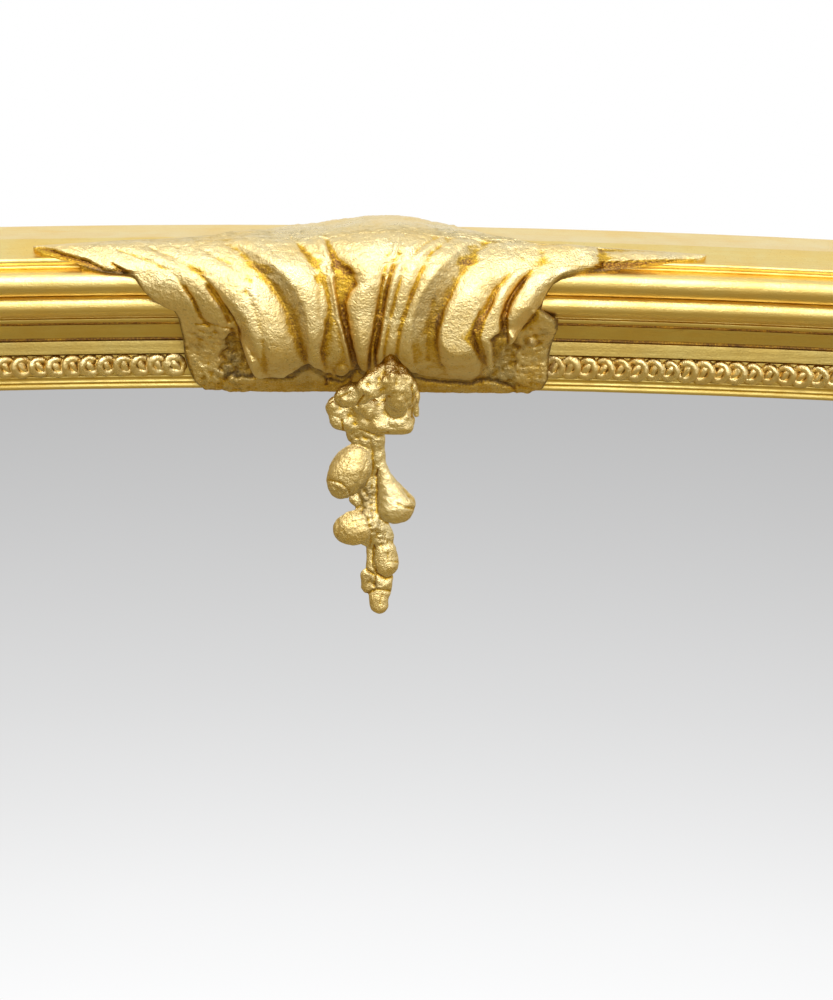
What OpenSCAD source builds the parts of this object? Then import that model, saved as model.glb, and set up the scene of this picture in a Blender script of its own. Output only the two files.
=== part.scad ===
// Overmantel mirror: a gilt frame with a gently arched top rail and rounded shoulders, built up
// from a pine core with layers of moulding, a fluted leaf clasp over the middle of the top rail
// and a pendant of fruit that hangs from the clasp over the glass.
// Millimetres. +Z is up, the front faces -Y, and the origin is the middle of the base's back edge.
// A section of the frame is drawn as [in, out]: in from the outer edge, out from the wall.

/* [Frame] */
// Width over the outer edges of the frame
frame_w = 1400; // [1250:10:1600]
// Height of the frame at the middle of the arch, without the clasp
frame_h = 1540; // [1400:10:1800]
// Outer radius of the arched top rail
arch_r = 8000; // [6000:100:12000]
// Outer radius of the rounded shoulders
shoulder_r = 180; // [150:5:220]

/* [Core] */
// Width of the pine core
core_w = 92; // [90:1:96]
// Thickness of the pine core
core_t = 24; // [22:1:26]
// Width of the rebate for the backboards
board_rebate_w = 14; // [12:1:16]
// Depth of the rebate for the backboards
board_rebate_d = 10; // [9:0.5:12]
// Thickness of the tenons of the bottom rail
tenon_t = 8; // [6:0.5:10]
// Height of the tenons of the bottom rail
tenon_h = 50; // [40:1:60]
// Height of the tenons' lower edge above the base
tenon_z = 18; // [12:1:24]
// Radius of the pegs through the tenons
peg_r = 4; // [3:0.5:5]
// Distance between the two pegs of a tenon
peg_spacing = 24; // [20:1:28]
// Length of the butterfly keys across the joints
key_l = 50; // [36:2:70]
// Width of the butterfly keys at their ends
key_w = 26; // [20:1:34]
// Width of the butterfly keys at their waist
key_waist = 12; // [8:1:16]
// Thickness of the butterfly keys
key_t = 8; // [5:0.5:12]

/* [Crown moulding] */
// Width of the crown moulding
crown_w = 51; // [50:0.5:54]
// Depth of the flat outer side, from the wall
side_d = 44; // [42:0.5:47]
// Width of the sloping outer band
slope_w = 9; // [8:0.5:10]
// Distance of the sloping band's front edge from the wall
slope_d = 60; // [58:0.5:62]
// Distance of the rounded lip's crest from the wall
lip_d = 65; // [63:0.5:66]
// Radius of the rounded lip
lip_r = 2.6; // [2:0.1:2.8]
// Radius of the large torus
torus_r = 9.75; // [9:0.25:10]
// Distance of the large torus's centre from the wall
torus_d = 65; // [63:0.5:66]
// Distance of the large torus's centre from the outer edge
torus_in = 24.2; // [24:0.1:24.6]
// Radius of the small torus
ring_r = 7; // [6:0.25:7.25]
// Distance of the small torus's centre from the wall
ring_d = 62; // [60:0.5:63]
// Distance of the small torus's centre from the crown moulding's inner edge
ring_inset = 8.7; // [8:0.1:9]

/* [Frieze moulding] */
// Overhang of the frieze moulding past the core's inner edge
frieze_over = 3; // [2:0.5:5]
// Radius of the small bead beside the crown moulding
bead_r = 2.1; // [1.5:0.1:2.4]
// Distance of the bead's centre from the wall
bead_d = 52; // [50:0.5:53]
// Width of the cove
cove_w = 12; // [10:0.5:13]
// Drop of the cove
cove_drop = 8; // [6:0.5:9]
// Width of the flat band
band_w = 11.6; // [9:0.2:13]
// Step down on each side of the flat band
band_step = 1.6; // [1:0.1:2.4]
// Slope of the flat band and of the ornament's bed, as drop over width
band_fall = 0.11; // [0.05:0.01:0.15]
// Height of the ornament above its bed
ornament_h = 2.6; // [1.8:0.1:3.2]
// Length of the ornament's ends that lie under the clasp
ornament_lap = 3; // [0:1:10]

/* [Sight slip] */
// Width of the slip beside the glass
slip_w = 11; // [9:0.5:13]
// Distance of the slip's flat from the wall
slip_d = 34; // [32:0.5:35]
// Distance of the sight edge's front from the wall
sight_d = 29; // [27:0.5:30]
// Radius of the sight edge
sight_r = 2; // [1.5:0.25:2.5]

/* [Glass] */
// Thickness of the mirror glass
glass_t = 5; // [4:0.5:6]
// Gap between the glass's edge and the core
glass_gap = 2; // [1:0.5:3]
// Length of the blocks that hold the glass
block_l = 40; // [25:1:60]
// Width of the blocks over the glass
block_w = 9; // [7:0.5:11]

/* [Backboards] */
// Number of backboards
board_count = 6; // [6:1:6]
// Thickness of the backboards
board_t = 9; // [7:0.5:9]
// Shrinkage gap between the backboards
board_gap = 1.5; // [0.5:0.5:4]
// Distance of the board screws from the boards' edges
board_screw_inset = 40; // [25:1:60]

/* [Screws] */
// Radius of the screws' shanks
screw_r = 2; // [1.5:0.1:2.2]
// Radius of the screws' countersunk heads
screw_head_r = 4; // [3.4:0.1:4.2]
// Length of the backboard screws
board_screw_l = 19; // [14:1:20]
// Length of the screws that hold the crown moulding
crown_screw_l = 40; // [32:1:42]
// Length of the screws that hold the frieze moulding
frieze_screw_l = 34; // [28:1:36]
// Length of the wall plate screws
plate_screw_l = 15; // [8:1:18]
// Length of the hanger screws
hanger_screw_l = 15; // [8:1:15]
// Spacing of the moulding screws along the stiles
stile_screw_pitch = 400; // [340:10:410]

/* [Wall plates] */
// Distance of the wall plates below the shoulder joints
plate_drop = 380; // [330:5:450]
// Width of a wall plate
plate_w = 40; // [30:1:50]
// Thickness of a wall plate
plate_t = 2; // [1.5:0.1:3]
// Length of a wall plate behind the frame
plate_in = 60; // [52:1:66]
// Length of a wall plate beyond the frame's edge
plate_out = 28; // [24:1:34]
// Distance of the wall hole from the frame's edge
plate_hole_out = 14; // [12:0.5:16]
// Radius of the wall hole
plate_hole_r = 2.75; // [2:0.25:4]
// Distance of the outer plate screw from the frame's edge
plate_screw_in = 18; // [14:1:22]
// Distance of the inner plate screw from the plate's inner end
plate_screw_end = 14; // [10:1:16]

/* [Hangers] */
// Distance of the hangers' pins below the shoulder joints
hanger_drop = 180; // [160:5:220]
// Width of a hanger strap
strap_w = 18; // [16:1:22]
// Thickness of a hanger strap
strap_t = 2; // [1.5:0.1:2.2]
// Length of a hanger strap above its pin
strap_l = 60; // [50:1:66]
// Height of the lower hanger screw above the pin
hanger_screw_up = 24; // [20:1:28]
// Distance of the upper hanger screw from the strap's end
hanger_screw_end = 12; // [8:1:14]
// Length of the rolled knuckle
knuckle_l = 16; // [14:1:18]
// Outer radius of the rolled knuckle
knuckle_r = 4.2; // [4:0.1:4.3]
// Radius of the ring's wire
ring_wire_r = 2; // [1.5:0.1:2.2]
// Radius of the ring's bow, along the wire's middle
ring_bow_r = 15; // [14:0.5:17]
// Clearance of the ring's wire in the knuckle
ring_clear = 0.08; // [0.04:0.01:0.1]
// Depth of the hanger housing in the core
housing_d = 9; // [8.9:0.1:11]
// Width of the hanger housing
housing_w = 44; // [40:1:48]
// Height of the housing above the hanger's pin
housing_up = 80; // [72:1:90]
// Height of the housing below the hanger's pin
housing_down = 26; // [22:1:36]

/* [Leaf clasp] */
// Length of the clasp along the rail, over its two leaf tips
clasp_w = 324; // [300:2:350]
// Thickness of the clasp at its rim
clasp_rim = 2.4; // [1.6:0.2:3]
// Thickness of the clasp's body
clasp_body = 5.5; // [4:0.5:7]
// Swell of the clasp's lobes over the creases
clasp_lobe = 6.5; // [3:0.5:8]
// Gap between the clasp and the mouldings behind it
clasp_gap = 0.4; // [0.3:0.1:0.8]

/* [Pendant] */
// Height of the fruit spray below the knot
spray_h = 125; // [110:1:140]
// Depth of a fruit as a share of its width
fruit_flat = 0.72; // [0.6:0.02:0.8]
// Gap between the pendant and the glass
pendant_gap = 0.5; // [0.3:0.1:0.9]

/* [Fits] */
// Gap in a glued joint between curved layers
glue_line = 0.1; // [0.05:0.05:0.3]
// Clearance of pegs, keys, tenons and screws
fit_gap = 0.1; // [0.05:0.05:0.2]

/* [Hidden] */
$fn = 48;

// Smoothness of the large arcs, and of the rounds in the sections
ARC_FN = 720;
ROUND_STEPS = 8;

GILT = [0.86, 0.72, 0.36];
GILT_PALE = [0.9, 0.8, 0.5];
GILT_DARK = [0.72, 0.56, 0.24];
PINE = [0.72, 0.56, 0.38];
OLD_PINE = [0.55, 0.42, 0.28];
BRASS = [0.78, 0.64, 0.32];
STEEL = [0.5, 0.5, 0.5];
SILVERED = [0.78, 0.79, 0.8];

// The shoulder's circle touches the arch's circle and the outer edge of the stile; the arched rail
// and the shoulder meet at this angle, and at this distance along the rail from its middle
arch_z = frame_h - arch_r;
shoulder_x = frame_w / 2 - shoulder_r;
split_a = asin(shoulder_x / (arch_r - shoulder_r));
split_s = split_a * PI / 180 * arch_r;
shoulder_z = arch_z + (arch_r - shoulder_r) * cos(split_a);

// Where one layer ends and the next begins, in from the outer edge
frieze_in = crown_w + glue_line;
frieze_end = core_w + frieze_over;
slip_in = frieze_end + glue_line;
sight_in = frieze_end + slip_w;
glass_in = core_w + glass_gap;
board_in = core_w - board_rebate_w + 1;
rebate_in = core_w - board_rebate_w;
board_screw_in = core_w - board_rebate_w / 2;
board_back = board_rebate_d - board_t;

// The crown moulding's small torus, and the valleys beside the large one, below its centre
ring_in = crown_w - ring_inset;
outer_valley = 0.6;
inner_valley = 1.2;

// The frieze moulding's members, each beginning where the last one ends
bead_in = frieze_in + bead_r;
cove_in = bead_in + bead_r;
cove_d = bead_d - 1;
cove_foot_d = cove_d - cove_drop;
band_in = cove_in + cove_w;
band_d = cove_foot_d - band_step;
bed_in = band_in + band_w;
bed_d = band_d - band_w * band_fall - 2 * band_step;
bed_w = frieze_end - bed_in;

// Screws stand in a line under each moulding, clear of the hangers and the wall plates
crown_screw_in = 9;
frieze_screw_in = rebate_in - 8.5;
plate_z = shoulder_z - plate_drop;
hanger_z = shoulder_z - hanger_drop;
hanger_in = 39;
hanger_pin_d = housing_d / 2;
key_in = rebate_in / 2;
// Reach of the tools that cut mitres and rebates
cut = 260;

// ---- points and curves ----

// Points on an arc from angle a0 to a1 about c
function arc(c, r, a0, a1, n = ROUND_STEPS) =
  [for (i = [0:n]) c + r * [cos(a0 + (a1 - a0) * i / n), sin(a0 + (a1 - a0) * i / n)]];

// A closed outline at a distance in from the frame's outer edge, drawn as [x, z]
function outline(inset) = concat(
  [[-frame_w / 2 + inset, inset], [frame_w / 2 - inset, inset]],
  arc([shoulder_x, shoulder_z], shoulder_r - inset, 0, 90 - split_a, 12),
  arc([0, arch_z], arch_r - inset, 90 - split_a + split_a / 8, 90 + split_a - split_a / 8, 14),
  arc([-shoulder_x, shoulder_z], shoulder_r - inset, 90 + split_a, 180, 12)
);

// The place [x, z] of a point on the top rail, s along the rail from its middle
function on_arch(s, inset) =
  let (a = s / arch_r * 180 / PI)
  [(arch_r - inset) * sin(a), arch_z + (arch_r - inset) * cos(a)];

// The place [x, z] of the middle of the left shoulder
function on_shoulder(inset) =
  let (a = 90 + split_a + (90 - split_a) / 2)
  [-shoulder_x + (shoulder_r - inset) * cos(a), shoulder_z + (shoulder_r - inset) * sin(a)];

// ---- sections, [in, out] ----

function core_section() = [
  [0, 0], [0, core_t], [core_w, core_t], [core_w, board_rebate_d],
  [rebate_in, board_rebate_d], [rebate_in, 0]
];

function crown_section() = concat(
  [[0, core_t], [0, side_d], [slope_w, slope_d]],
  arc([slope_w + 0.85 * lip_r, lip_d - lip_r], lip_r, 160, 40, 5),
  [[torus_in - torus_r - 0.1, torus_d - outer_valley]],
  arc([torus_in, torus_d], torus_r, 172, 8),
  [[torus_in + torus_r, torus_d - inner_valley]],
  arc([ring_in, ring_d], ring_r, 158, -30),
  [[crown_w, bead_d + 2], [crown_w, core_t]]
);

function frieze_section() = concat(
  [[frieze_in, core_t]],
  arc([bead_in, bead_d], bead_r, 180, 0, 6),
  [for (i = [0:ROUND_STEPS])
    let (t = 90 * i / ROUND_STEPS)
    [cove_in + cove_w * (1 - cos(t)), cove_d - cove_drop * sin(t)]],
  [[band_in, band_d], [bed_in, band_d - band_w * band_fall], [bed_in, bed_d]],
  [[frieze_end, bed_d - bed_w * band_fall], [frieze_end, core_t]]
);

// A low round strip that stands for the chain of small rings
function ornament_section() =
  let (margin = 0.8, w = bed_w - 2 * margin)
  [for (i = [0:ROUND_STEPS])
    let (t = i / ROUND_STEPS, base = bed_d - (margin + w * t) * band_fall + glue_line)
    [bed_in + margin + w * t, base + ornament_h * pow(sin(180 * t), 0.5)]];

function slip_section() = concat(
  [[slip_in, core_t], [slip_in, slip_d], [slip_in + 6.6, slip_d - 0.8], [slip_in + 7, slip_d - 2]],
  arc([sight_in - sight_r, sight_d], sight_r, 110, 0, 5),
  [[sight_in, core_t]]
);

// ---- runs of a section round the frame; the right ones mirror the left ones ----

module mirrored(side) {
  if (side > 0) {
    mirror([1, 0, 0]) children();
  } else {
    children();
  }
}

// The half-space on one side of the left mitre: above it with way = 1, below it with way = -1
module mitre_tool(way) {
  translate([-frame_w / 2, 0, 0])
    rotate([0, -45, 0])
      translate([-cut, -cut, way > 0 ? 0 : -cut])
        cube([2 * cut, 2 * cut, cut]);
}

module base_run(section) {
  difference() {
    translate([-frame_w / 2, 0, 0])
      rotate([0, 90, 0])
        linear_extrude(height = frame_w)
          polygon([for (p = section) [-p[0], -p[1]]]);
    mitre_tool(1);
    mirror([1, 0, 0]) mitre_tool(1);
  }
}

module stile_bar(section) {
  linear_extrude(height = shoulder_z)
    polygon([for (p = section) [p[0] - frame_w / 2, -p[1]]]);
}

module stile_run(section) {
  difference() {
    stile_bar(section);
    mitre_tool(-1);
  }
}

module shoulder_run(section) {
  translate([-shoulder_x, 0, shoulder_z])
    rotate([90, 0, 0])
      rotate([0, 0, 90 + split_a])
        rotate_extrude(angle = 90 - split_a, $fn = ARC_FN / 4)
          polygon([for (p = section) [shoulder_r - p[0], p[1]]]);
}

// The left half of the arched rail, from s along the rail to the shoulder
module top_run(section, s = 0) {
  from_a = s / arch_r * 180 / PI;
  translate([0, 0, arch_z])
    rotate([90, 0, 0])
      rotate([0, 0, 90 + from_a])
        rotate_extrude(angle = split_a - from_a, $fn = ARC_FN)
          polygon([for (p = section) [arch_r - p[0], p[1]]]);
}

// ---- screws, pegs and keys, all driven in from the back ----

module at_back(place) {
  translate([place[0], 0, place[1]]) children();
}

// A slotted countersunk screw with its head's face start from the wall; grow makes its hole
module screw(len, start = 0, grow = 0) {
  head_h = screw_head_r - screw_r;
  rotate([90, 0, 0])
    translate([0, 0, start])
      difference() {
        union() {
          translate([0, 0, grow > 0 ? -grow : 0])
            cylinder(h = head_h + (grow > 0 ? grow : 0), r1 = screw_head_r + 2 * grow, r2 = screw_r + grow);
          cylinder(h = len + 5 * grow, r = screw_r + grow);
        }
        if (grow == 0) {
          translate([-screw_head_r, -0.4, -1]) cube([2 * screw_head_r, 0.8, 1.8]);
        }
      }
}

// Screw places [x, z] on the left half of each run. On the bottom rail and the arched rail they are
// shares of the rail's half, and on the stiles the frieze's screws stand between the crown's
function base_places(shares, inset) = [for (share = shares) [-share * frame_w / 2, inset]];
function top_places(shares, inset) = [for (share = shares) on_arch(-share * split_s, inset)];
function stile_places(steps, inset) =
  [for (step = steps) [inset - frame_w / 2, plate_z + step * stile_screw_pitch]];

crown_base_places = base_places([0.64, 0.09], crown_screw_in);
crown_stile_places = stile_places([-1.5, -0.5, 0.5], crown_screw_in);
crown_shoulder_places = [on_shoulder(crown_screw_in)];
crown_top_places = top_places([0.36, 0.81], crown_screw_in);
frieze_base_places = base_places([0.53, 0.2], frieze_screw_in);
frieze_stile_places = stile_places([-1.25, -0.25, 0.75], frieze_screw_in);
frieze_shoulder_places = [on_shoulder(frieze_screw_in)];
frieze_top_places = top_places([0.47, 0.88], frieze_screw_in);
arch_board_places = top_places([0.28, 0.715], board_screw_in);

module crown_screw_set(places, grow = 0) {
  for (p = places) at_back(p) screw(crown_screw_l, 0, grow);
}

module frieze_screw_set(places, grow = 0) {
  for (p = places) at_back(p) screw(frieze_screw_l, 0, grow);
}

module board_screw_set(places, grow = 0) {
  for (p = places) at_back(p) screw(board_screw_l, board_back, grow);
}

// A butterfly key across a joint, its length along X before it is turned; grow makes its pocket
module key(grow = 0) {
  l = key_l / 2 + grow;
  w = key_w / 2 + grow;
  n = key_waist / 2 + grow;
  rotate([90, 0, 0])
    translate([0, 0, grow > 0 ? -1 : 0])
      linear_extrude(height = key_t + (grow > 0 ? 1 + grow : 0))
        polygon([[-l, -w], [0, -n], [l, -w], [l, w], [0, n], [-l, w]]);
}

module stile_key(grow = 0) {
  translate([key_in - frame_w / 2, 0, shoulder_z]) rotate([0, 90, 0]) key(grow);
}

module shoulder_key(grow = 0) {
  place = on_arch(-split_s, key_in);
  translate([place[0], 0, place[1]]) rotate([0, -split_a, 0]) key(grow);
}

module middle_key(grow = 0) {
  translate([0, 0, frame_h - key_in]) key(grow);
}

peg_places = [for (way = [-0.5, 0.5])
  [core_w * 0.42 - frame_w / 2, tenon_z + tenon_h / 2 + way * peg_spacing]];

module peg_set(grow = 0) {
  for (p = peg_places)
    at_back(p)
      rotate([90, 0, 0])
        translate([0, 0, grow > 0 ? -1 : 0])
          cylinder(h = core_t + (grow > 0 ? 2 : 0), r = peg_r + grow);
}

// The tenon at the left end of the bottom rail; grow makes its mortise
module tenon(grow = 0) {
  translate([-frame_w / 2 - (grow > 0 ? 1 : 0), -core_t / 2 - tenon_t / 2 - grow, tenon_z - grow])
    cube([core_w + 2, tenon_t + 2 * grow, tenon_h + 2 * grow]);
}

// ---- core ----

module base_core() {
  color(PINE) difference() {
    union() {
      translate([-frame_w / 2 + core_w, 0, 0])
        rotate([0, 90, 0])
          linear_extrude(height = frame_w - 2 * core_w)
            polygon([for (p = core_section()) [-p[0], -p[1]]]);
      tenon();
      mirror([1, 0, 0]) tenon();
    }
    for (side = [-1, 1]) mirrored(side) {
      peg_set(fit_gap);
      crown_screw_set(crown_base_places, fit_gap);
      frieze_screw_set(frieze_base_places, fit_gap);
    }
  }
}

module stile_core(side) {
  color(PINE) mirrored(side) difference() {
    union() {
      stile_bar(core_section());
      translate([rebate_in - frame_w / 2 - 1, -board_rebate_d - 1, 0])
        cube([board_rebate_w + 1, board_rebate_d + 1, rebate_in]);
    }
    tenon(fit_gap);
    peg_set(fit_gap);
    stile_key(fit_gap);
    crown_screw_set(crown_stile_places, fit_gap);
    frieze_screw_set(frieze_stile_places, fit_gap);
    board_screw_set(board_side_places, fit_gap);
    plate_pocket();
    plate_screw_set(fit_gap);
    hanger_housing();
    hanger_screw_set(fit_gap);
  }
}

module shoulder_core(side) {
  color(PINE) mirrored(side) difference() {
    shoulder_run(core_section());
    stile_key(fit_gap);
    shoulder_key(fit_gap);
    crown_screw_set(crown_shoulder_places, fit_gap);
    frieze_screw_set(frieze_shoulder_places, fit_gap);
  }
}

module top_core(side) {
  color(PINE) mirrored(side) difference() {
    top_run(core_section());
    shoulder_key(fit_gap);
    middle_key(fit_gap);
    crown_screw_set(crown_top_places, fit_gap);
    frieze_screw_set(frieze_top_places, fit_gap);
    board_screw_set(arch_board_places, fit_gap);
  }
}

module tenon_pegs() {
  color(OLD_PINE) for (side = [-1, 1]) mirrored(side) peg_set();
}

module butterfly_keys() {
  color(OLD_PINE) {
    for (side = [-1, 1]) mirrored(side) {
      stile_key();
      shoulder_key();
    }
    middle_key();
  }
}

// ---- mouldings ----

module crown_base() {
  color(GILT) difference() {
    base_run(crown_section());
    for (side = [-1, 1]) mirrored(side) crown_screw_set(crown_base_places, fit_gap);
  }
}

module crown_stile(side) {
  color(GILT) mirrored(side) difference() {
    stile_run(crown_section());
    crown_screw_set(crown_stile_places, fit_gap);
  }
}

module crown_shoulder(side) {
  color(GILT) mirrored(side) difference() {
    shoulder_run(crown_section());
    crown_screw_set(crown_shoulder_places, fit_gap);
  }
}

module crown_top(side) {
  color(GILT) mirrored(side) difference() {
    top_run(crown_section());
    crown_screw_set(crown_top_places, fit_gap);
  }
}

module frieze_base() {
  color(GILT_PALE) difference() {
    base_run(frieze_section());
    for (side = [-1, 1]) mirrored(side) frieze_screw_set(frieze_base_places, fit_gap);
  }
}

module frieze_stile(side) {
  color(GILT_PALE) mirrored(side) difference() {
    stile_run(frieze_section());
    frieze_screw_set(frieze_stile_places, fit_gap);
  }
}

module frieze_shoulder(side) {
  color(GILT_PALE) mirrored(side) difference() {
    shoulder_run(frieze_section());
    frieze_screw_set(frieze_shoulder_places, fit_gap);
  }
}

module frieze_top(side) {
  color(GILT_PALE) mirrored(side) difference() {
    top_run(frieze_section());
    frieze_screw_set(frieze_top_places, fit_gap);
  }
}

module ornament_base() {
  color(GILT_DARK) base_run(ornament_section());
}

module ornament_stile(side) {
  color(GILT_DARK) mirrored(side) stile_run(ornament_section());
}

module ornament_shoulder(side) {
  color(GILT_DARK) mirrored(side) shoulder_run(ornament_section());
}

module ornament_top(side) {
  edge = clasp_w * abs(lookup(ornament_v, side < 0 ? LEFT_EDGE : RIGHT_EDGE));
  color(GILT_DARK) mirrored(side) top_run(ornament_section(), edge - ornament_lap);
}

module slip_base() {
  color(GILT) base_run(slip_section());
}

module slip_stile(side) {
  color(GILT) mirrored(side) stile_run(slip_section());
}

module slip_shoulder(side) {
  color(GILT) mirrored(side) shoulder_run(slip_section());
}

module slip_top(side) {
  color(GILT) mirrored(side) top_run(slip_section());
}

module moulding_screws() {
  color(STEEL) for (side = [-1, 1]) mirrored(side) {
    crown_screw_set(concat(crown_base_places, crown_stile_places, crown_shoulder_places, crown_top_places));
    frieze_screw_set(
      concat(frieze_base_places, frieze_stile_places, frieze_shoulder_places, frieze_top_places)
    );
  }
}

// ---- glass and backboards ----

module mirror_glass() {
  color(SILVERED)
    translate([0, glass_t - core_t, 0])
      rotate([90, 0, 0])
        linear_extrude(height = glass_t)
          polygon(outline(glass_in));
}

// A triangular block in the corner between the core's inner edge and the back of the glass
module block() {
  glass_back = core_t - glass_t;
  translate([-block_l / 2, 0, 0])
    rotate([0, 90, 0])
      linear_extrude(height = block_l)
        polygon([[-core_w, -glass_back], [-core_w - block_w, -glass_back], [-core_w, -board_rebate_d - 0.5]]);
}

module glass_blocks() {
  color(PINE) for (side = [-1, 1]) mirrored(side) {
    for (x = [-0.36, -0.12]) translate([x * frame_w, 0, 0]) block();
    for (z = [0.15, 0.33, 0.51, 0.69])
      translate([-frame_w / 2, 0, z * frame_h]) rotate([0, 90, 0]) block();
    for (share = [-0.19, -0.75]) {
      place = on_arch(share * split_s, glue_line);
      translate([place[0], 0, place[1]]) rotate([0, 180 + share * split_a, 0]) block();
    }
  }
}

board_low = board_in;
board_pitch = (frame_h - 2 * board_in) / board_count;

function board_z(k) = board_low + (k - 1) * board_pitch;

board_side_places = [
  for (k = [1:board_count])
    for (z = k < board_count
      ? [board_z(k) + board_screw_inset, board_z(k) + board_pitch - board_gap - board_screw_inset]
      : [board_z(k) + board_screw_inset])
      [board_screw_in - frame_w / 2, z]
];

module backboard(k) {
  color(OLD_PINE) difference() {
    translate([0, -board_back, 0])
      rotate([90, 0, 0])
        linear_extrude(height = board_t)
          intersection() {
            polygon(outline(board_in));
            translate([-frame_w / 2, board_z(k)])
              square([frame_w, board_pitch - (k < board_count ? board_gap : 0)]);
          }
    for (side = [-1, 1]) mirrored(side) {
      board_screw_set([for (p = board_side_places) if (on_board(k, p)) p], fit_gap);
      if (k == board_count) board_screw_set(arch_board_places, fit_gap);
    }
  }
}

function on_board(k, p) = p[1] > board_z(k) && p[1] < board_z(k) + board_pitch;

module backboard_screws() {
  color(STEEL) for (side = [-1, 1]) mirrored(side)
    board_screw_set(concat(board_side_places, arch_board_places));
}

// ---- wall plates, let in flush ----

plate_screw_places =
  [for (x = [plate_screw_in, plate_in - plate_screw_end]) [x - frame_w / 2, plate_z]];

module plate_pocket() {
  translate([-frame_w / 2 - 1, -plate_t - fit_gap, plate_z - plate_w / 2 - fit_gap])
    cube([plate_in + 1 + fit_gap, plate_t + fit_gap + 1, plate_w + 2 * fit_gap]);
}

module plate_screw_set(grow = 0) {
  for (p = plate_screw_places) at_back(p) screw(plate_screw_l, 0, grow);
}

module wall_plate(side) {
  end_r = plate_w / 2;
  color(BRASS) mirrored(side) difference() {
    union() {
      translate([end_r - frame_w / 2 - plate_out, -plate_t, plate_z - end_r])
        cube([plate_in + plate_out - end_r, plate_t, plate_w]);
      translate([end_r - frame_w / 2 - plate_out, 0, plate_z])
        rotate([90, 0, 0])
          cylinder(h = plate_t, r = end_r);
    }
    translate([-frame_w / 2 - plate_hole_out, 1, plate_z])
      rotate([90, 0, 0])
        cylinder(h = plate_t + 2, r = plate_hole_r);
    plate_screw_set(fit_gap);
  }
}

module wall_plate_screws() {
  color(BRASS) for (side = [-1, 1]) mirrored(side) plate_screw_set();
}

// ---- hangers: a strap with a rolled knuckle, and a ring that swings in it ----

module hanger_housing() {
  translate([hanger_in - housing_w / 2 - frame_w / 2, -housing_d, hanger_z - housing_down])
    cube([housing_w, housing_d + 1, housing_up + housing_down]);
}

hanger_screw_places = [for (z = [hanger_screw_up, strap_l - hanger_screw_end])
  [hanger_in - frame_w / 2, hanger_z + z]];

// The hanger's screws pass through the strap on the housing's floor
module hanger_screw_set(grow = 0) {
  for (p = hanger_screw_places) at_back(p) screw(hanger_screw_l, housing_d - strap_t, grow);
}

module hanger_strap(side) {
  color(BRASS) mirrored(side) difference() {
    union() {
      translate([hanger_in - frame_w / 2 - strap_w / 2, -housing_d, hanger_z + 2])
        cube([strap_w, strap_t, strap_l - 2]);
      translate([hanger_in - frame_w / 2 - knuckle_l / 2, -housing_d, hanger_z])
        cube([knuckle_l, strap_t, strap_l / 4]);
      translate([hanger_in - frame_w / 2 - knuckle_l / 2, -hanger_pin_d, hanger_z])
        rotate([0, 90, 0])
          cylinder(h = knuckle_l, r = knuckle_r);
    }
    translate([hanger_in - frame_w / 2 - knuckle_l, -hanger_pin_d, hanger_z])
      rotate([0, 90, 0])
        cylinder(h = 2 * knuckle_l, r = ring_wire_r + ring_clear);
    hanger_screw_set(fit_gap);
  }
}

module ring(side) {
  corner_r = ring_wire_r + 0.4;
  color(BRASS) mirrored(side)
    translate([hanger_in - frame_w / 2, -hanger_pin_d, hanger_z])
      union() {
        translate([-ring_bow_r, 0, 0]) rotate([0, 90, 0]) cylinder(h = 2 * ring_bow_r, r = ring_wire_r);
        rotate([90, 0, 0])
          rotate([0, 0, 180])
            rotate_extrude(angle = 180)
              translate([ring_bow_r, 0])
                circle(r = ring_wire_r);
        for (x = [-ring_bow_r, ring_bow_r]) translate([x, 0, 0]) sphere(r = corner_r);
      }
}

module hanger_screws() {
  color(STEEL) for (side = [-1, 1]) mirrored(side) hanger_screw_set();
}

// ---- leaf clasp ----

// The way over the mouldings that the clasp's back follows, from the top's back edge to the sight
// edge. Each point stands a little off the member that it passes.
WRAP = [
  [-clasp_gap, 6],
  [-clasp_gap, side_d * 0.6],
  [-clasp_gap, side_d],
  [slope_w - 1.6, slope_d + 0.6],
  [slope_w - 0.8, lip_d - 0.6],
  [torus_in - torus_r, torus_d + 5.6],
  [torus_in - 5, torus_d + torus_r - 0.2],
  [torus_in, torus_d + torus_r + 0.5 + clasp_gap],
  [torus_in + 9, torus_d + torus_r - 1.2],
  [ring_in, ring_d + ring_r + 0.8 + clasp_gap],
  [ring_in + 5.3, ring_d + ring_r - 1],
  [crown_w, ring_d + 0.4],
  [cove_in + 1, bead_d + bead_r + 3],
  [band_in, cove_foot_d + 5],
  [bed_in, band_d + 1.5],
  [frieze_end, bed_d + ornament_h + 0.6],
  [sight_in - 1, sight_d + 2.5]
];

// Distance along the way to each of its points
function wrap_sum(i) = i == 0 ? 0 : wrap_sum(i - 1) + norm(WRAP[i] - WRAP[i - 1]);
WRAP_D = [for (i = [0:len(WRAP) - 1]) wrap_sum(i)];
WRAP_IN = [for (i = [0:len(WRAP) - 1]) [WRAP_D[i], WRAP[i][0]]];
WRAP_OUT = [for (i = [0:len(WRAP) - 1]) [WRAP_D[i], WRAP[i][1]]];
wrap_l = WRAP_D[len(WRAP) - 1];

function wrap_at(d) = [lookup(d, WRAP_IN), lookup(d, WRAP_OUT)];

// The direction out of the mouldings at a distance along the way
function wrap_normal(d) =
  let (reach = 7, t = wrap_at(min(d + reach, wrap_l)) - wrap_at(max(d - reach, 0)))
  [-t[1], t[0]] / norm(t);

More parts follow.
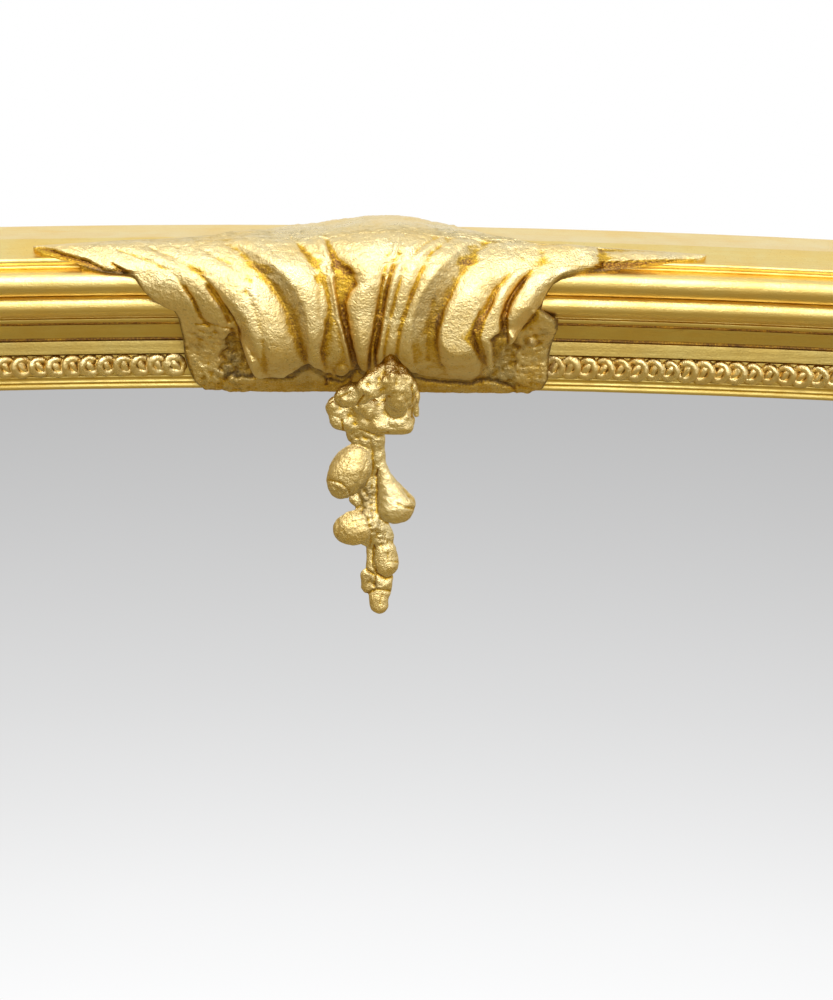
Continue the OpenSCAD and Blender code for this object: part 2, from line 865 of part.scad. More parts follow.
// The clasp's left and right edges: [share of the way, share of the clasp's length from the middle]
LEFT_EDGE = [
  [0, -0.18], [0.13, -0.25], [0.24, -0.31], [0.28, -0.41], [0.32, -0.51], [0.35, -0.56],
  [0.38, -0.57], [0.4, -0.535], [0.48, -0.48], [0.56, -0.42], [0.73, -0.41], [0.84, -0.408],
  [0.9, -0.4], [1, -0.375]
];
RIGHT_EDGE = [
  [0, 0.14], [0.07, 0.16], [0.26, 0.225], [0.3, 0.31], [0.34, 0.39], [0.36, 0.43],
  [0.4, 0.38], [0.44, 0.345], [0.46, 0.325], [0.53, 0.315], [0.6, 0.349], [0.76, 0.348],
  [0.89, 0.347], [1, 0.34]
];
// The share of the way at which the ornament meets the clasp
ornament_v = 0.9;

// Where the creases lie across the clasp, as shares of its width; a lobe swells between two
CREASES = [0, 0.12, 0.18, 0.315, 0.45, 0.51, 0.585, 0.625, 0.7, 0.82, 0.915, 1];
LOBE_COLUMNS = 4;
// The greatest distance between two rows; each corner of the way has a row of its own
ROW_STEP = 6;

clasp_cols = (len(CREASES) - 1) * LOBE_COLUMNS;
CLASP_ROW_D = concat(
  [for (i = [0:len(WRAP) - 2])
    let (n = ceil((WRAP_D[i + 1] - WRAP_D[i]) / ROW_STEP))
    for (k = [0:n - 1]) WRAP_D[i] + (WRAP_D[i + 1] - WRAP_D[i]) * k / n],
  [wrap_l]
);

// The share of the width at column i, and how far it lies into its lobe
function col_share(i) =
  let (k = min(floor(i / LOBE_COLUMNS), len(CREASES) - 2), t = i / LOBE_COLUMNS - k)
  CREASES[k] + (CREASES[k + 1] - CREASES[k]) * t;
function col_swell(i) =
  let (t = i / LOBE_COLUMNS - floor(i / LOBE_COLUMNS))
  pow(sin(180 * t), 0.6);

// Rises from 0 at a to 1 at b
function ramp(x, a, b) = max(0, min(1, (x - a) / (b - a)));

function clasp_depth(i, v) =
  let (
    side = min(col_share(i), 1 - col_share(i)),
    rim = pow(ramp(side, 0, 0.09), 0.5) * pow(ramp(v, -0.02, 0.12), 0.6) * pow(ramp(1.02 - v, 0, 0.1), 0.5),
    flute = ramp(v, 0.12, 0.34) * (1 - 0.5 * ramp(v, 0.6, 1))
  )
  clasp_rim + rim * (clasp_body + clasp_lobe * flute * col_swell(i));

// A point of the clasp: column i, row j, on its back or on its front
function clasp_point(i, j, front) =
  let (
    d = CLASP_ROW_D[j],
    v = d / wrap_l,
    w = col_share(i),
    s = clasp_w * (lookup(v, LEFT_EDGE) * (1 - w) + lookup(v, RIGHT_EDGE) * w),
    p = wrap_at(d) + (front ? clasp_depth(i, v) : 0) * wrap_normal(d),
    place = on_arch(s, p[0])
  )
  [place[0], -p[1], place[1]];

module leaf_clasp() {
  cols = clasp_cols + 1;
  rows = len(CLASP_ROW_D);
  n = cols * rows;
  points = [for (front = [0, 1]) for (j = [0:rows - 1]) for (i = [0:cols - 1]) clasp_point(i, j, front > 0)];
  at = function (i, j, layer) layer * n + j * cols + i;
  faces = concat(
    [for (j = [0:rows - 2]) for (i = [0:cols - 2]) for (half = [0, 1])
      half == 0
        ? [at(i, j, 1), at(i + 1, j, 1), at(i + 1, j + 1, 1)]
        : [at(i, j, 1), at(i + 1, j + 1, 1), at(i, j + 1, 1)]],
    [for (j = [0:rows - 2]) for (i = [0:cols - 2]) for (half = [0, 1])
      half == 0
        ? [at(i, j, 0), at(i + 1, j + 1, 0), at(i + 1, j, 0)]
        : [at(i, j, 0), at(i, j + 1, 0), at(i + 1, j + 1, 0)]],
    [for (i = [0:cols - 2]) for (half = [0, 1])
      half == 0
        ? [at(i, 0, 0), at(i + 1, 0, 0), at(i + 1, 0, 1)]
        : [at(i, 0, 0), at(i + 1, 0, 1), at(i, 0, 1)]],
    [for (i = [0:cols - 2]) for (half = [0, 1])
      half == 0
        ? [at(i, rows - 1, 0), at(i + 1, rows - 1, 1), at(i + 1, rows - 1, 0)]
        : [at(i, rows - 1, 0), at(i, rows - 1, 1), at(i + 1, rows - 1, 1)]],
    [for (j = [0:rows - 2]) for (half = [0, 1])
      half == 0
        ? [at(0, j, 0), at(0, j, 1), at(0, j + 1, 1)]
        : [at(0, j, 0), at(0, j + 1, 1), at(0, j + 1, 0)]],
    [for (j = [0:rows - 2]) for (half = [0, 1])
      half == 0
        ? [at(cols - 1, j, 0), at(cols - 1, j + 1, 1), at(cols - 1, j, 1)]
        : [at(cols - 1, j, 0), at(cols - 1, j + 1, 0), at(cols - 1, j + 1, 1)]]
  );
  color(GILT) polyhedron(points = points, faces = faces);
}

// ---- pendant ----

// Each lump runs between two round ends: [x, drop below the sight edge, lift off the back, radius] twice
KNOT = [
  [[6, -15, 29.6, 6], [0, 6, 23.5, 9]],
  [[-29, 13, 17, 10.5], [-30, 17, 14, 10.5]],
  [[9, 12, 17, 11], [7, 19, 14, 11]],
  [[-22, 14, 16, 8], [2, 12, 16, 8]],
  [[-18, 24, 12, 6], [-4, 24, 12, 6]],
  [[-18, 30, 8, 6], [-6, 30, 8, 6]]
];
FRUIT = [
  [[-20.5, 46.5, 1, 13.5], [-27, 60, 0, 13.5]],
  [[-14, 32, 6, 6], [-18, 42, 2, 9]],
  [[-4, 32, 6, 5], [-2, 52, 0, 4.5]],
  [[3, 60, 0, 7], [9, 79, 0, 13]],
  [[-11, 68, 0, 6.5], [-13, 82, 0, 6]],
  [[-21, 91, 0, 12.5], [-24, 97, 0, 12.5]],
  [[5, 88, 0, 5], [2, 106, 0, 4.5]],
  [[1, 110, 0, 9], [0, 121, 0, 9]],
  [[-11, 126, 0, 6.3], [-9, 135, 0, 6]],
  [[-4, 143, 0, 7.2], [-4, 148, 0, 7.2]]
];
// The drop at which the spray leaves the knot, and the height below it for which FRUIT is laid out
neck_drop = 30;
laid_out_h = 125;

module round_end(e) {
  translate([e[0], -(core_t + pendant_gap + e[2] + e[3] * fruit_flat), frame_h - sight_in - e[1]])
    scale([1, fruit_flat, 1])
      sphere(r = e[3], $fn = 20);
}

// A round end of the spray, which grows from the neck down as its height is set
function spray_end(e) =
  let (k = spray_h / laid_out_h)
  [e[0] * k, neck_drop + (e[1] - neck_drop) * k, e[2] * k, e[3] * k];

module fruit_pendant() {
  color(GILT) union() {
    for (lump = KNOT) hull() {
      round_end(lump[0]);
      round_end(lump[1]);
    }
    for (lump = FRUIT) hull() {
      round_end(spray_end(lump[0]));
      round_end(spray_end(lump[1]));
    }
  }
}

base_core();  // core_bottom
stile_core(-1);  // core_left
stile_core(1);  // core_right
shoulder_core(-1);  // core_left_shoulder
shoulder_core(1);  // core_right_shoulder
top_core(-1);  // core_top_left
top_core(1);  // core_top_right
crown_base();  // crown_bottom
crown_stile(-1);  // crown_left
crown_stile(1);  // crown_right
crown_shoulder(-1);  // crown_left_shoulder
crown_shoulder(1);  // crown_right_shoulder
crown_top(-1);  // crown_top_left
crown_top(1);  // crown_top_right
frieze_base();  // frieze_bottom
frieze_stile(-1);  // frieze_left
frieze_stile(1);  // frieze_right
frieze_shoulder(-1);  // frieze_left_shoulder
frieze_shoulder(1);  // frieze_right_shoulder
frieze_top(-1);  // frieze_top_left
frieze_top(1);  // frieze_top_right
ornament_base();  // ornament_bottom
ornament_stile(-1);  // ornament_left
ornament_stile(1);  // ornament_right
ornament_shoulder(-1);  // ornament_left_shoulder
ornament_shoulder(1);  // ornament_right_shoulder
ornament_top(-1);  // ornament_top_left
ornament_top(1);  // ornament_top_right
slip_base();  // slip_bottom
slip_stile(-1);  // slip_left
slip_stile(1);  // slip_right
slip_shoulder(-1);  // slip_left_shoulder
slip_shoulder(1);  // slip_right_shoulder
slip_top(-1);  // slip_top_left
slip_top(1);  // slip_top_right
mirror_glass();
glass_blocks();
backboard(1);  // backboard_1
backboard(2);  // backboard_2
backboard(3);  // backboard_3
backboard(4);  // backboard_4
backboard(5);  // backboard_5
backboard(6);  // backboard_6
backboard_screws();
moulding_screws();
tenon_pegs();
butterfly_keys();
wall_plate(-1);  // left_wall_plate
wall_plate(1);  // right_wall_plate
wall_plate_screws();
hanger_strap(-1);  // left_hanger_strap
hanger_strap(1);  // right_hanger_strap
hanger_screws();
ring(-1);  // left_ring
ring(1);  // right_ring
leaf_clasp();
fruit_pendant();
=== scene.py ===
"""Looks of a gilt overmantel mirror: mouldings, ring chain, fluted leaf clasp and fruit pendant.

Lengths are millimetres until a mesh is made. A section of the frame is drawn as [in, out]: in from
the frame's outer edge, out from the wall. A run carries a section round the frame.
"""
import math

import bmesh
import bpy
import numpy as np
from mathutils import Matrix, Vector


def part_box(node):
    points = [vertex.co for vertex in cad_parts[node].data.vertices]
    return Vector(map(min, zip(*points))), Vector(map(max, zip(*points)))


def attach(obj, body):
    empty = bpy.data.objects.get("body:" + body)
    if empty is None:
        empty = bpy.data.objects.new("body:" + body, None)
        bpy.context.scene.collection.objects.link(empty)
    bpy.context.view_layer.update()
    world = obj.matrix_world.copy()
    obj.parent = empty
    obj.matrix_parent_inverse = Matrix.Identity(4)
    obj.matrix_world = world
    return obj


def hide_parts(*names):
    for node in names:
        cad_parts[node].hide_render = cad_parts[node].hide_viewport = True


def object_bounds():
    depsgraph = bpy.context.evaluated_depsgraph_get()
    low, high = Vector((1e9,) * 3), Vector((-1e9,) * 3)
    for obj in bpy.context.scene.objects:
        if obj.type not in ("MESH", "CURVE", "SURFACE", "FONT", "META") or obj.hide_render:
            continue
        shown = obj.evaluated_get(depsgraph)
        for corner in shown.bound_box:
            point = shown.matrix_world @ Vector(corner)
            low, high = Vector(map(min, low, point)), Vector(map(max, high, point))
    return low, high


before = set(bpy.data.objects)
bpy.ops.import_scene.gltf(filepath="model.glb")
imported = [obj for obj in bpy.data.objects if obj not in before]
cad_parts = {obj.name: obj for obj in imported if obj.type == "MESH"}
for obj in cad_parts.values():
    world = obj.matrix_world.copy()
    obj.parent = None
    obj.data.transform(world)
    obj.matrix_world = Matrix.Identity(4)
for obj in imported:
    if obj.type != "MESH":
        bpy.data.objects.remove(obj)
cad_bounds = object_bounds()

MM = 0.001

# ---- the frame's sizes ----

FRAME_W = 2 * -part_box("core_left")[0].x / MM
FRAME_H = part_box("core_top_left")[1].z / MM
ARCH_R = 8000.0
SHOULDER_R = 180.0
CORE_T = -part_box("core_left")[0].y / MM

ARCH_Z = FRAME_H - ARCH_R
SHOULDER_X = FRAME_W / 2 - SHOULDER_R
SPLIT_A = math.asin(SHOULDER_X / (ARCH_R - SHOULDER_R))
SPLIT_S = SPLIT_A * ARCH_R
SHOULDER_Z = ARCH_Z + (ARCH_R - SHOULDER_R) * math.cos(SPLIT_A)

# ---- the photograph's camera ----

PHOTO_W, PHOTO_H = 833, 1000
CAMERA_AT = np.array([-57.6, -1600.0, 1841.6])
CAMERA_DOWN = math.radians(17.18)
CAMERA_RIGHT = math.radians(3.03)
CAMERA_ROLL = math.radians(1.28)
FOCAL_PX = 2397.3
SENSOR = 36.0


def camera_axes():
    """The camera's right, up and forward directions."""
    forward = np.array([
        math.sin(CAMERA_RIGHT) * math.cos(CAMERA_DOWN),
        math.cos(CAMERA_RIGHT) * math.cos(CAMERA_DOWN),
        -math.sin(CAMERA_DOWN),
    ])
    level = np.array([math.cos(CAMERA_RIGHT), -math.sin(CAMERA_RIGHT), 0.0])
    upright = np.cross(level, forward)
    c, s = math.cos(CAMERA_ROLL), math.sin(CAMERA_ROLL)
    return c * level + s * upright, -s * level + c * upright, forward


RIGHT, UP, FORWARD = camera_axes()


def in_photo(points):
    """Where points [x, y, z] lie in the photograph, in its pixels."""
    away = points - CAMERA_AT
    depth = away @ FORWARD
    return (PHOTO_W / 2 + FOCAL_PX * (away @ RIGHT) / depth,
            PHOTO_H / 2 - FOCAL_PX * (away @ UP) / depth)


def seen_at(px, py, out):
    """The point that the photograph shows at a pixel, at a distance out from the wall."""
    ray = FORWARD + RIGHT * (px - PHOTO_W / 2) / FOCAL_PX - UP * (py - PHOTO_H / 2) / FOCAL_PX
    return CAMERA_AT + ray * (-out - CAMERA_AT[1]) / ray[1]


# ---- small tools ----

def lattice_noise(points, size, seed):
    """Smooth noise between about -1 and 1, with bumps of about size."""
    rng = np.random.RandomState(seed)
    order = np.tile(rng.permutation(256), 2)
    slopes = rng.normal(size=(256, 3))
    slopes /= np.linalg.norm(slopes, axis=1)[:, None]
    at = np.asarray(points, float) / size + 1000.0
    cell = np.floor(at).astype(int)
    part = at - cell
    fade = part ** 3 * (part * (part * 6 - 15) + 10)
    cell &= 255
    total = np.zeros(len(at))
    for corner in np.ndindex(2, 2, 2):
        dx, dy, dz = corner
        index = order[order[order[(cell[:, 0] + dx) & 255] + ((cell[:, 1] + dy) & 255)]
                      + ((cell[:, 2] + dz) & 255)]
        weight = np.prod(np.where(np.array(corner), fade, 1 - fade), axis=1)
        total += weight * ((part - np.array(corner)) * slopes[index]).sum(1)
    return total * 1.6


def blur(values, sigma, axis=0):
    """Gaussian blur along an axis, with sigma in steps."""
    reach = max(1, int(3 * sigma + 0.5))
    kernel = np.exp(-0.5 * (np.arange(-reach, reach + 1) / sigma) ** 2)
    kernel /= kernel.sum()
    padding = [(0, 0)] * values.ndim
    padding[axis] = (reach, reach)
    padded = np.pad(values, padding, mode="edge")
    result = np.zeros_like(values, dtype=float)
    for i, share in enumerate(kernel):
        cut = [slice(None)] * values.ndim
        cut[axis] = slice(i, i + values.shape[axis])
        result += share * padded[tuple(cut)]
    return result


def blur_both(grid, sigma):
    return blur(blur(grid, sigma, 0), sigma, 1)


def lengths(line):
    """How far along a line each of its points lies."""
    return np.r_[0, np.cumsum(np.linalg.norm(np.diff(line, axis=0), axis=1))]


def points_at(line, places):
    """The points of a line at these lengths along it."""
    along = lengths(line)
    return np.c_[np.interp(places, along, line[:, 0]), np.interp(places, along, line[:, 1])]


def normals_of(tangent):
    """The outward directions square to these tangents."""
    return np.c_[-tangent[:, 1], tangent[:, 0]] / (np.linalg.norm(tangent, axis=1)[:, None] + 1e-9)


def ease(x, a, b):
    """Rises smoothly from 0 at a to 1 at b."""
    t = np.clip((x - a) / (b - a), 0, 1)
    return t * t * (3 - 2 * t)


def add_object(name, data):
    added = bpy.data.objects.new(name, data)
    bpy.context.scene.collection.objects.link(added)
    return added


def make_piece(name, points, faces, material, sharp):
    """A smooth mesh object from millimetre points, with edges sharper than an angle kept."""
    mesh = bpy.data.meshes.new(name)
    mesh.from_pydata((np.asarray(points) * MM).tolist(), [], faces)
    b = bmesh.new()
    b.from_mesh(mesh)
    bmesh.ops.recalc_face_normals(b, faces=b.faces)
    b.to_mesh(mesh)
    b.free()
    mesh.shade_smooth()
    mesh.set_sharp_from_angle(angle=math.radians(sharp))
    mesh.materials.append(material)
    piece = add_object(name, mesh)
    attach(piece, "frame")
    return piece


def set_shade(piece, name, values):
    """Stores per point, for the gilding, how deep it lies (hollow), which darkens it with bole and painted
    shade, or how much grime and painted shade it takes.
    """
    layer = piece.data.attributes.new(name, "FLOAT", "POINT")
    layer.data.foreach_set("value", np.clip(values, 0, 1).astype(np.float32))


def arc(centre, radius, start, end, step=6.0, squeeze=1.0):
    """Points on an arc, its angles in degrees; squeeze narrows it sideways."""
    count = max(2, int(abs(end - start) / step))
    angles = np.radians(np.linspace(start, end, count + 1))
    return [(centre[0] + radius * math.cos(a) * squeeze, centre[1] + radius * math.sin(a)) for a in angles]


# ---- materials ----

class Graph:
    """A node tree, with short ways to add to it. A value is a socket, a number or a colour."""

    def __init__(self, owner):
        owner.use_nodes = True
        self.nodes = owner.node_tree.nodes
        self.links = owner.node_tree.links

    def put(self, value, socket):
        if isinstance(value, bpy.types.NodeSocket):
            self.links.new(value, socket)
        elif socket.type == "RGBA":
            socket.default_value = (*value, 1.0)
        else:
            socket.default_value = value

    def node(self, kind, inputs=()):
        """A new node, with some of its inputs filled in."""
        node = self.nodes.new("ShaderNode" + kind)
        for name, value in dict(inputs).items():
            self.put(value, node.inputs[name])
        return node

    def place(self, scale=(1, 1, 1)):
        """Object coordinates, scaled on each axis."""
        coordinates = self.node("TexCoord").outputs["Object"]
        return self.node("Mapping", {"Vector": coordinates, "Scale": scale}).outputs["Vector"]

    def noise(self, vector, scale, detail=4.0, roughness=0.55):
        inputs = {"Vector": vector, "Scale": scale, "Detail": detail, "Roughness": roughness}
        return self.node("TexNoise", inputs).outputs["Fac"]

    def attribute(self, name):
        node = self.node("Attribute")
        node.attribute_name = name
        return node.outputs["Fac"]

    def remap(self, value, low, high, to_low=0.0, to_high=1.0):
        inputs = {"Value": value, "From Min": low, "From Max": high, "To Min": to_low, "To Max": to_high}
        return self.node("MapRange", inputs).outputs["Result"]

    def maths(self, operation, first, second):
        node = self.node("Math", {0: first, 1: second})
        node.operation = operation
        return node.outputs[0]

    def vectors(self, operation, first, second):
        node = self.node("VectorMath", {0: first, 1: second})
        node.operation = operation
        return node.outputs

    def times(self, first, second):
        return self.maths("MULTIPLY", first, second)

    def plus(self, first, second, share=1.0):
        """The first value and a share of the second."""
        return self.maths("ADD", first, self.times(second, share))

    def mix(self, factor, first, second):
        """Mixes two colours."""
        node = self.node("Mix")
        node.data_type = "RGBA"
        for value, index in ((factor, 0), (first, 6), (second, 7)):
            self.put(value, node.inputs[index])
        return node.outputs[2]

    def bump(self, shader, height, distance):
        """Raises a shader's surface by a height, times a distance in metres."""
        node = self.node("Bump", {"Height": height, "Distance": distance})
        self.put(node.outputs["Normal"], shader.inputs["Normal"])


def new_material(name):
    material = bpy.data.materials.new(name)
    graph = Graph(material)
    return material, graph, graph.nodes["Principled BSDF"]


# The light and the warm tone of each gilding
GOLD = (0.95, 0.76, 0.30), (0.91, 0.66, 0.20)
FRIEZE_GOLD = (0.82, 0.66, 0.23), (0.77, 0.57, 0.16)
PALE_GOLD = (0.97, 0.82, 0.46), (0.93, 0.71, 0.30)
OLIVE = (0.66, 0.47, 0.15)
# The colour of grime, which also paints shade under rims, along edges and on sides turned from the light
GRIME_AND_SHADE = (0.20, 0.145, 0.07)
OCHRE = (0.72, 0.45, 0.035)
AMBER = (0.52, 0.29, 0.035)
BOLE_AND_SHADE = (0.20, 0.085, 0.02)
# Where the hollows turn to each deeper colour: from, to, the colour. The bole shows in the hollows, and
# these colours also paint the shade and the warm reflection of the gold around that fall there.
DEEPER = [(0.1, 0.42, OCHRE), (0.4, 0.75, AMBER), (0.65, 1.1, BOLE_AND_SHADE)]
# Scales of the noise, per metre
PATCHES, LUMPS, STREAKS, SPECKS = 38, 140, 330, 800
# Stretch of the brush drag along an axis
DRAG = {"X": (0.06, 1, 1), "Z": (1, 1, 0.06)}


def gold_shader(graph, shader, colours, rough, grain, drag):
    """Gold over gesso: patchy tone; ochre, amber and dark bole in the hollows, deepened there as painted
    shade and painted reflection; grime and painted shade; fine lumps, brush drag.
    """
    plain = graph.place()
    patches = graph.noise(plain, PATCHES, 5)
    lumps = graph.noise(plain, LUMPS, 4, 0.6)
    streaks = graph.noise(graph.place(drag), STREAKS, 4, 0.65)
    specks = graph.noise(plain, SPECKS, 3, 0.6)
    colour = graph.mix(graph.remap(graph.plus(patches, streaks, 0.6), 0.6, 1.0), *colours)
    colour = graph.mix(graph.remap(specks, 0.6, 0.72, 0, 0.55), colour, OLIVE)
    hollow = graph.times(graph.attribute("hollow"), graph.remap(specks, 0.3, 0.7, 0.6, 1.35))
    for low, high, deeper in DEEPER:
        colour = graph.mix(graph.remap(hollow, low, high), colour, deeper)
    # Grime and painted shade, from the point attribute
    dirt_and_shade = graph.times(graph.attribute("grime_and_shade"), graph.remap(specks, 0.35, 0.65, 0.7, 1.3))
    graph.put(graph.mix(dirt_and_shade, colour, GRIME_AND_SHADE), shader.inputs["Base Color"])
    shader.inputs["Metallic"].default_value = 1.0
    shader.inputs["Coat Weight"].default_value = 0.22
    shader.inputs["Coat Roughness"].default_value = 0.3
    wear = graph.remap(graph.plus(patches, specks, 0.5), 0.55, 0.95, *rough)
    graph.put(graph.plus(wear, dirt_and_shade, 0.25), shader.inputs["Roughness"])
    height = graph.plus(graph.plus(graph.times(streaks, 0.9), specks, 0.8), lumps, 0.5)
    graph.bump(shader, height, grain)


def gilding(name, colours, rough, grain=0.00025, drag=(1, 1, 1)):
    material, graph, shader = new_material(name)
    gold_shader(graph, shader, colours, rough, grain, drag)
    return material


def gilding_along(name, colours, rough):
    """Two gildings: brushed along the level runs, and along the upright ones."""
    return (gilding(name, colours, rough, drag=DRAG["X"]),
            gilding(f"{name}_upright", colours, rough, drag=DRAG["Z"]))


def gilt_outside(material, axis):
    """Gilds the faces of a wooden material that look away from the middle of the frame."""
    graph = Graph(material)
    wooden = graph.nodes["Principled BSDF"]
    gilded = graph.node("BsdfPrincipled")
    gold_shader(graph, gilded, GOLD, (0.36, 0.5), 0.0002, DRAG[axis])
    geometry = graph.node("NewGeometry").outputs
    from_middle = graph.vectors("SUBTRACT", geometry["Position"], (0, 0, FRAME_H / 2 * MM))[0]
    away = graph.vectors("DOT_PRODUCT", from_middle, geometry["True Normal"])["Value"]
    outside = graph.maths("GREATER_THAN", away, 0.3)
    mix = graph.node("MixShader", {0: outside, 1: wooden.outputs[0], 2: gilded.outputs[0]})
    graph.put(mix.outputs[0], graph.nodes["Material Output"].inputs["Surface"])
    return material


def wood(name, colours, axis, squash=0.08, rough=0.62):
    """Bare softwood with its grain along an axis."""
    material, graph, shader = new_material(name)
    light, dark = colours
    along = graph.place((squash, 1, 1) if axis == "X" else (1, 1, squash))
    waves = {"Vector": along, "Scale": 24, "Distortion": 7.0, "Detail": 3.0, "Detail Scale": 1.2}
    rings = graph.node("TexWave", waves)
    rings.bands_direction = "Z" if axis == "X" else "X"
    rings = rings.outputs["Fac"]
    fibre = graph.noise(along, 600)
    darkening = graph.noise(graph.place(), 9)
    colour = graph.mix(graph.remap(rings, 0.1, 0.9, 0, 0.8), light, dark)
    colour = graph.mix(graph.remap(fibre, 0.35, 0.75, 0, 0.45), colour, dark)
    colour = graph.mix(graph.remap(darkening, 0.45, 0.75, 0, 0.4), colour, tuple(0.5 * c for c in dark))
    graph.put(colour, shader.inputs["Base Color"])
    graph.put(graph.remap(fibre, 0.3, 0.7, rough - 0.1, rough + 0.15), shader.inputs["Roughness"])
    graph.bump(shader, graph.plus(fibre, rings), 0.0003)
    return material


def old_metal(name, bright, dull, rough):
    """Brass or steel, scuffed and tarnished."""
    material, graph, shader = new_material(name)
    cloud = graph.noise(graph.place(), 90, 5)
    wear = graph.plus(cloud, graph.noise(graph.place((1, 1, 14)), 500, 2))
    graph.put(graph.mix(graph.remap(cloud, 0.42, 0.66), bright, dull), shader.inputs["Base Color"])
    shader.inputs["Metallic"].default_value = 1.0
    graph.put(graph.remap(wear, 0.8, 1.2, *rough), shader.inputs["Roughness"])
    graph.bump(shader, wear, 0.0001)
    return material


def silvered_glass():
    """Plate glass with a silvered back: a clean reflection with a few faint clouds in the silver."""
    material, graph, shader = new_material("silvered_glass")
    cloud = graph.remap(graph.noise(graph.place(), 3, 3), 0.3, 0.8)
    graph.put(graph.mix(cloud, (0.985, 0.985, 0.99), (0.97, 0.973, 0.975)), shader.inputs["Base Color"])
    shader.inputs["Metallic"].default_value = 1.0
    shader.inputs["Roughness"].default_value = 0.0
    return material


crown_golds = gilding_along("crown_gold", GOLD, (0.30, 0.42))
frieze_golds = gilding_along("frieze_gold", FRIEZE_GOLD, (0.34, 0.48))
slip_golds = gilding_along("slip_gold", FRIEZE_GOLD, (0.42, 0.56))
ornament_gold = gilding("ornament_gold", PALE_GOLD, (0.24, 0.38), 0.0004)
clasp_gold = gilding("clasp_gold", PALE_GOLD, (0.24, 0.44), 0.0008)
pendant_gold = gilding("pendant_gold", PALE_GOLD, (0.16, 0.34), 0.0008)
mirror_silver = silvered_glass()
# The light and the dark of new and of old wood
PINE, OLD_PINE = ((0.62, 0.45, 0.27), (0.42, 0.27, 0.14)), ((0.44, 0.31, 0.19), (0.27, 0.17, 0.09))
pine = gilt_outside(wood("pine", PINE, "X"), "X")
pine_upright = gilt_outside(wood("pine_upright", PINE, "Z"), "Z")
bare_pine = wood("bare_pine", PINE, "X")
board_pine = wood("board_pine", OLD_PINE, "X", 0.07, 0.72)
brass = old_metal("old_brass", (0.80, 0.62, 0.28), (0.42, 0.30, 0.14), (0.22, 0.46))
steel = old_metal("old_steel", (0.50, 0.49, 0.47), (0.24, 0.21, 0.19), (0.3, 0.55))


# ---- sections, [in, out] ----

def softened(points, radius=0.5, step=0.25, flat=0.03):
    """An open section with its corners rounded, and with points only where it bends."""
    points = np.array(points, float)
    length = lengths(points)[-1]
    places = np.linspace(0, length, max(4, int(length / step)))
    line = blur(points_at(points, places), radius / step)
    line[0], line[-1] = points[0], points[-1]
    kept, start = [0], 0
    for i in range(2, len(line)):
        chord = line[i] - line[start]
        away = line[start + 1:i] - line[start]
        miss = np.abs(chord[0] * away[:, 1] - chord[1] * away[:, 0]) / (np.linalg.norm(chord) + 1e-9)
        if miss.max() > flat or places[i] - places[start] > 4:
            start = i - 1
            kept.append(start)
    kept.append(len(line) - 1)
    return line[kept]


CROWN_IN_END = 51.0
FRIEZE_IN = 51.1
CORNER = (0.0, 44.0)


def crown_section():
    """The pale outer side and slope, the lip with a small bead under it, and two toruses."""
    return softened(
        [(0, CORE_T), CORNER, (8.6, 60)]
        + arc((11.0, 62.6), 2.6, 160, 10)
        + [(13.6, 63.1)]
        + arc((14.9, 63.6), 1.0, 200, -10, 20)
        + [(16.2, 64.0)]
        + arc((25.0, 64.2), 10.1, 176, 0, squeeze=8.8 / 10.1)
        + [(33.5, 62.6)]
        + arc((40.6, 62), 7.1, 172, -30)
        + [(CROWN_IN_END, 53), (CROWN_IN_END, CORE_T)], 0.36)


# The cove, the band and the bed of the ring chain: where each starts and ends, and how far out
COVE_START, COVE_D, COVE_END, COVE_END_D, COVE_SAG = 56.9, 49.4, 67.3, 42.6, 0.5
BAND_IN, BAND_D, BAND_SAG = 67.3, 40.8, 0.18
BED_IN, BED_D, FRIEZE_END, BED_END_D = 78.9, 36.6, 95.0, 35.1
# How much more the frieze's hollows darken, as painted shade along its grooves, and the dirt on its flat
# band: [in, share]
FRIEZE_HOLLOW_SHADE = 1.9
FRIEZE_DIRT = [(66.9, 0), (67.7, 0.17), (78.4, 0.17), (79.2, 0)]


def frieze_section():
    """A fillet, a cove, the band and the bed of the ring chain, with grooves between them."""
    def sagging(start, start_d, end, end_d, sag):
        shares = np.linspace(0, 1, 12)
        drop = sag * np.sin(math.pi * shares)
        return list(zip(start + (end - start) * shares, start_d + (end_d - start_d) * shares - drop))
    return softened(
        [(FRIEZE_IN, CORE_T), (FRIEZE_IN, 49.0), (52.2, 49.0), (52.6, 50.8), (54.4, 50.5), (55.5, 49.6),
         (55.6, 47.6), (56.8, 47.6)]
        + sagging(COVE_START, COVE_D, COVE_END, COVE_END_D, COVE_SAG)
        + [(BAND_IN, 38.6), (BAND_IN + 2.3, 38.6)]
        + sagging(BAND_IN + 2.7, BAND_D, BED_IN, BAND_D, BAND_SAG)
        + [(BED_IN, 34.6), (BED_IN + 1.4, 34.6), (BED_IN + 1.6, BED_D), (FRIEZE_END, BED_END_D),
           (FRIEZE_END, CORE_T)], 0.24, flat=0.02)


def slip_section():
    """The narrow slip: a fine bead, a flat, a fillet, and the rounded sight edge."""
    return softened(
        [(95.1, CORE_T), (95.1, 33.2)]
        + arc((96.1, 33.1), 1.1, 160, 10, 20)
        + [(97.4, 32.8), (98.9, 32.6)]
        + arc((99.9, 32.3), 0.8, 145, 0, 20)
        + [(101.0, 31.2), (101.7, 31.0)]
        + arc((103.4, 29.4), 2.1, 120, 0, 12)
        + [(106, 28.4), (106, CORE_T)], 0.26, flat=0.012)


# ---- runs: where a section's point lies, at a share t of the run ----

def stacked(x, y, z):
    return np.stack(np.broadcast_arrays(x, y, z), -1)


def base_place(ins, outs, t):
    return stacked((FRAME_W / 2 - ins) * (2 * t - 1), -outs, ins)


def stile_place(ins, outs, t):
    return stacked(ins - FRAME_W / 2, -outs, ins + (SHOULDER_Z - ins) * t)


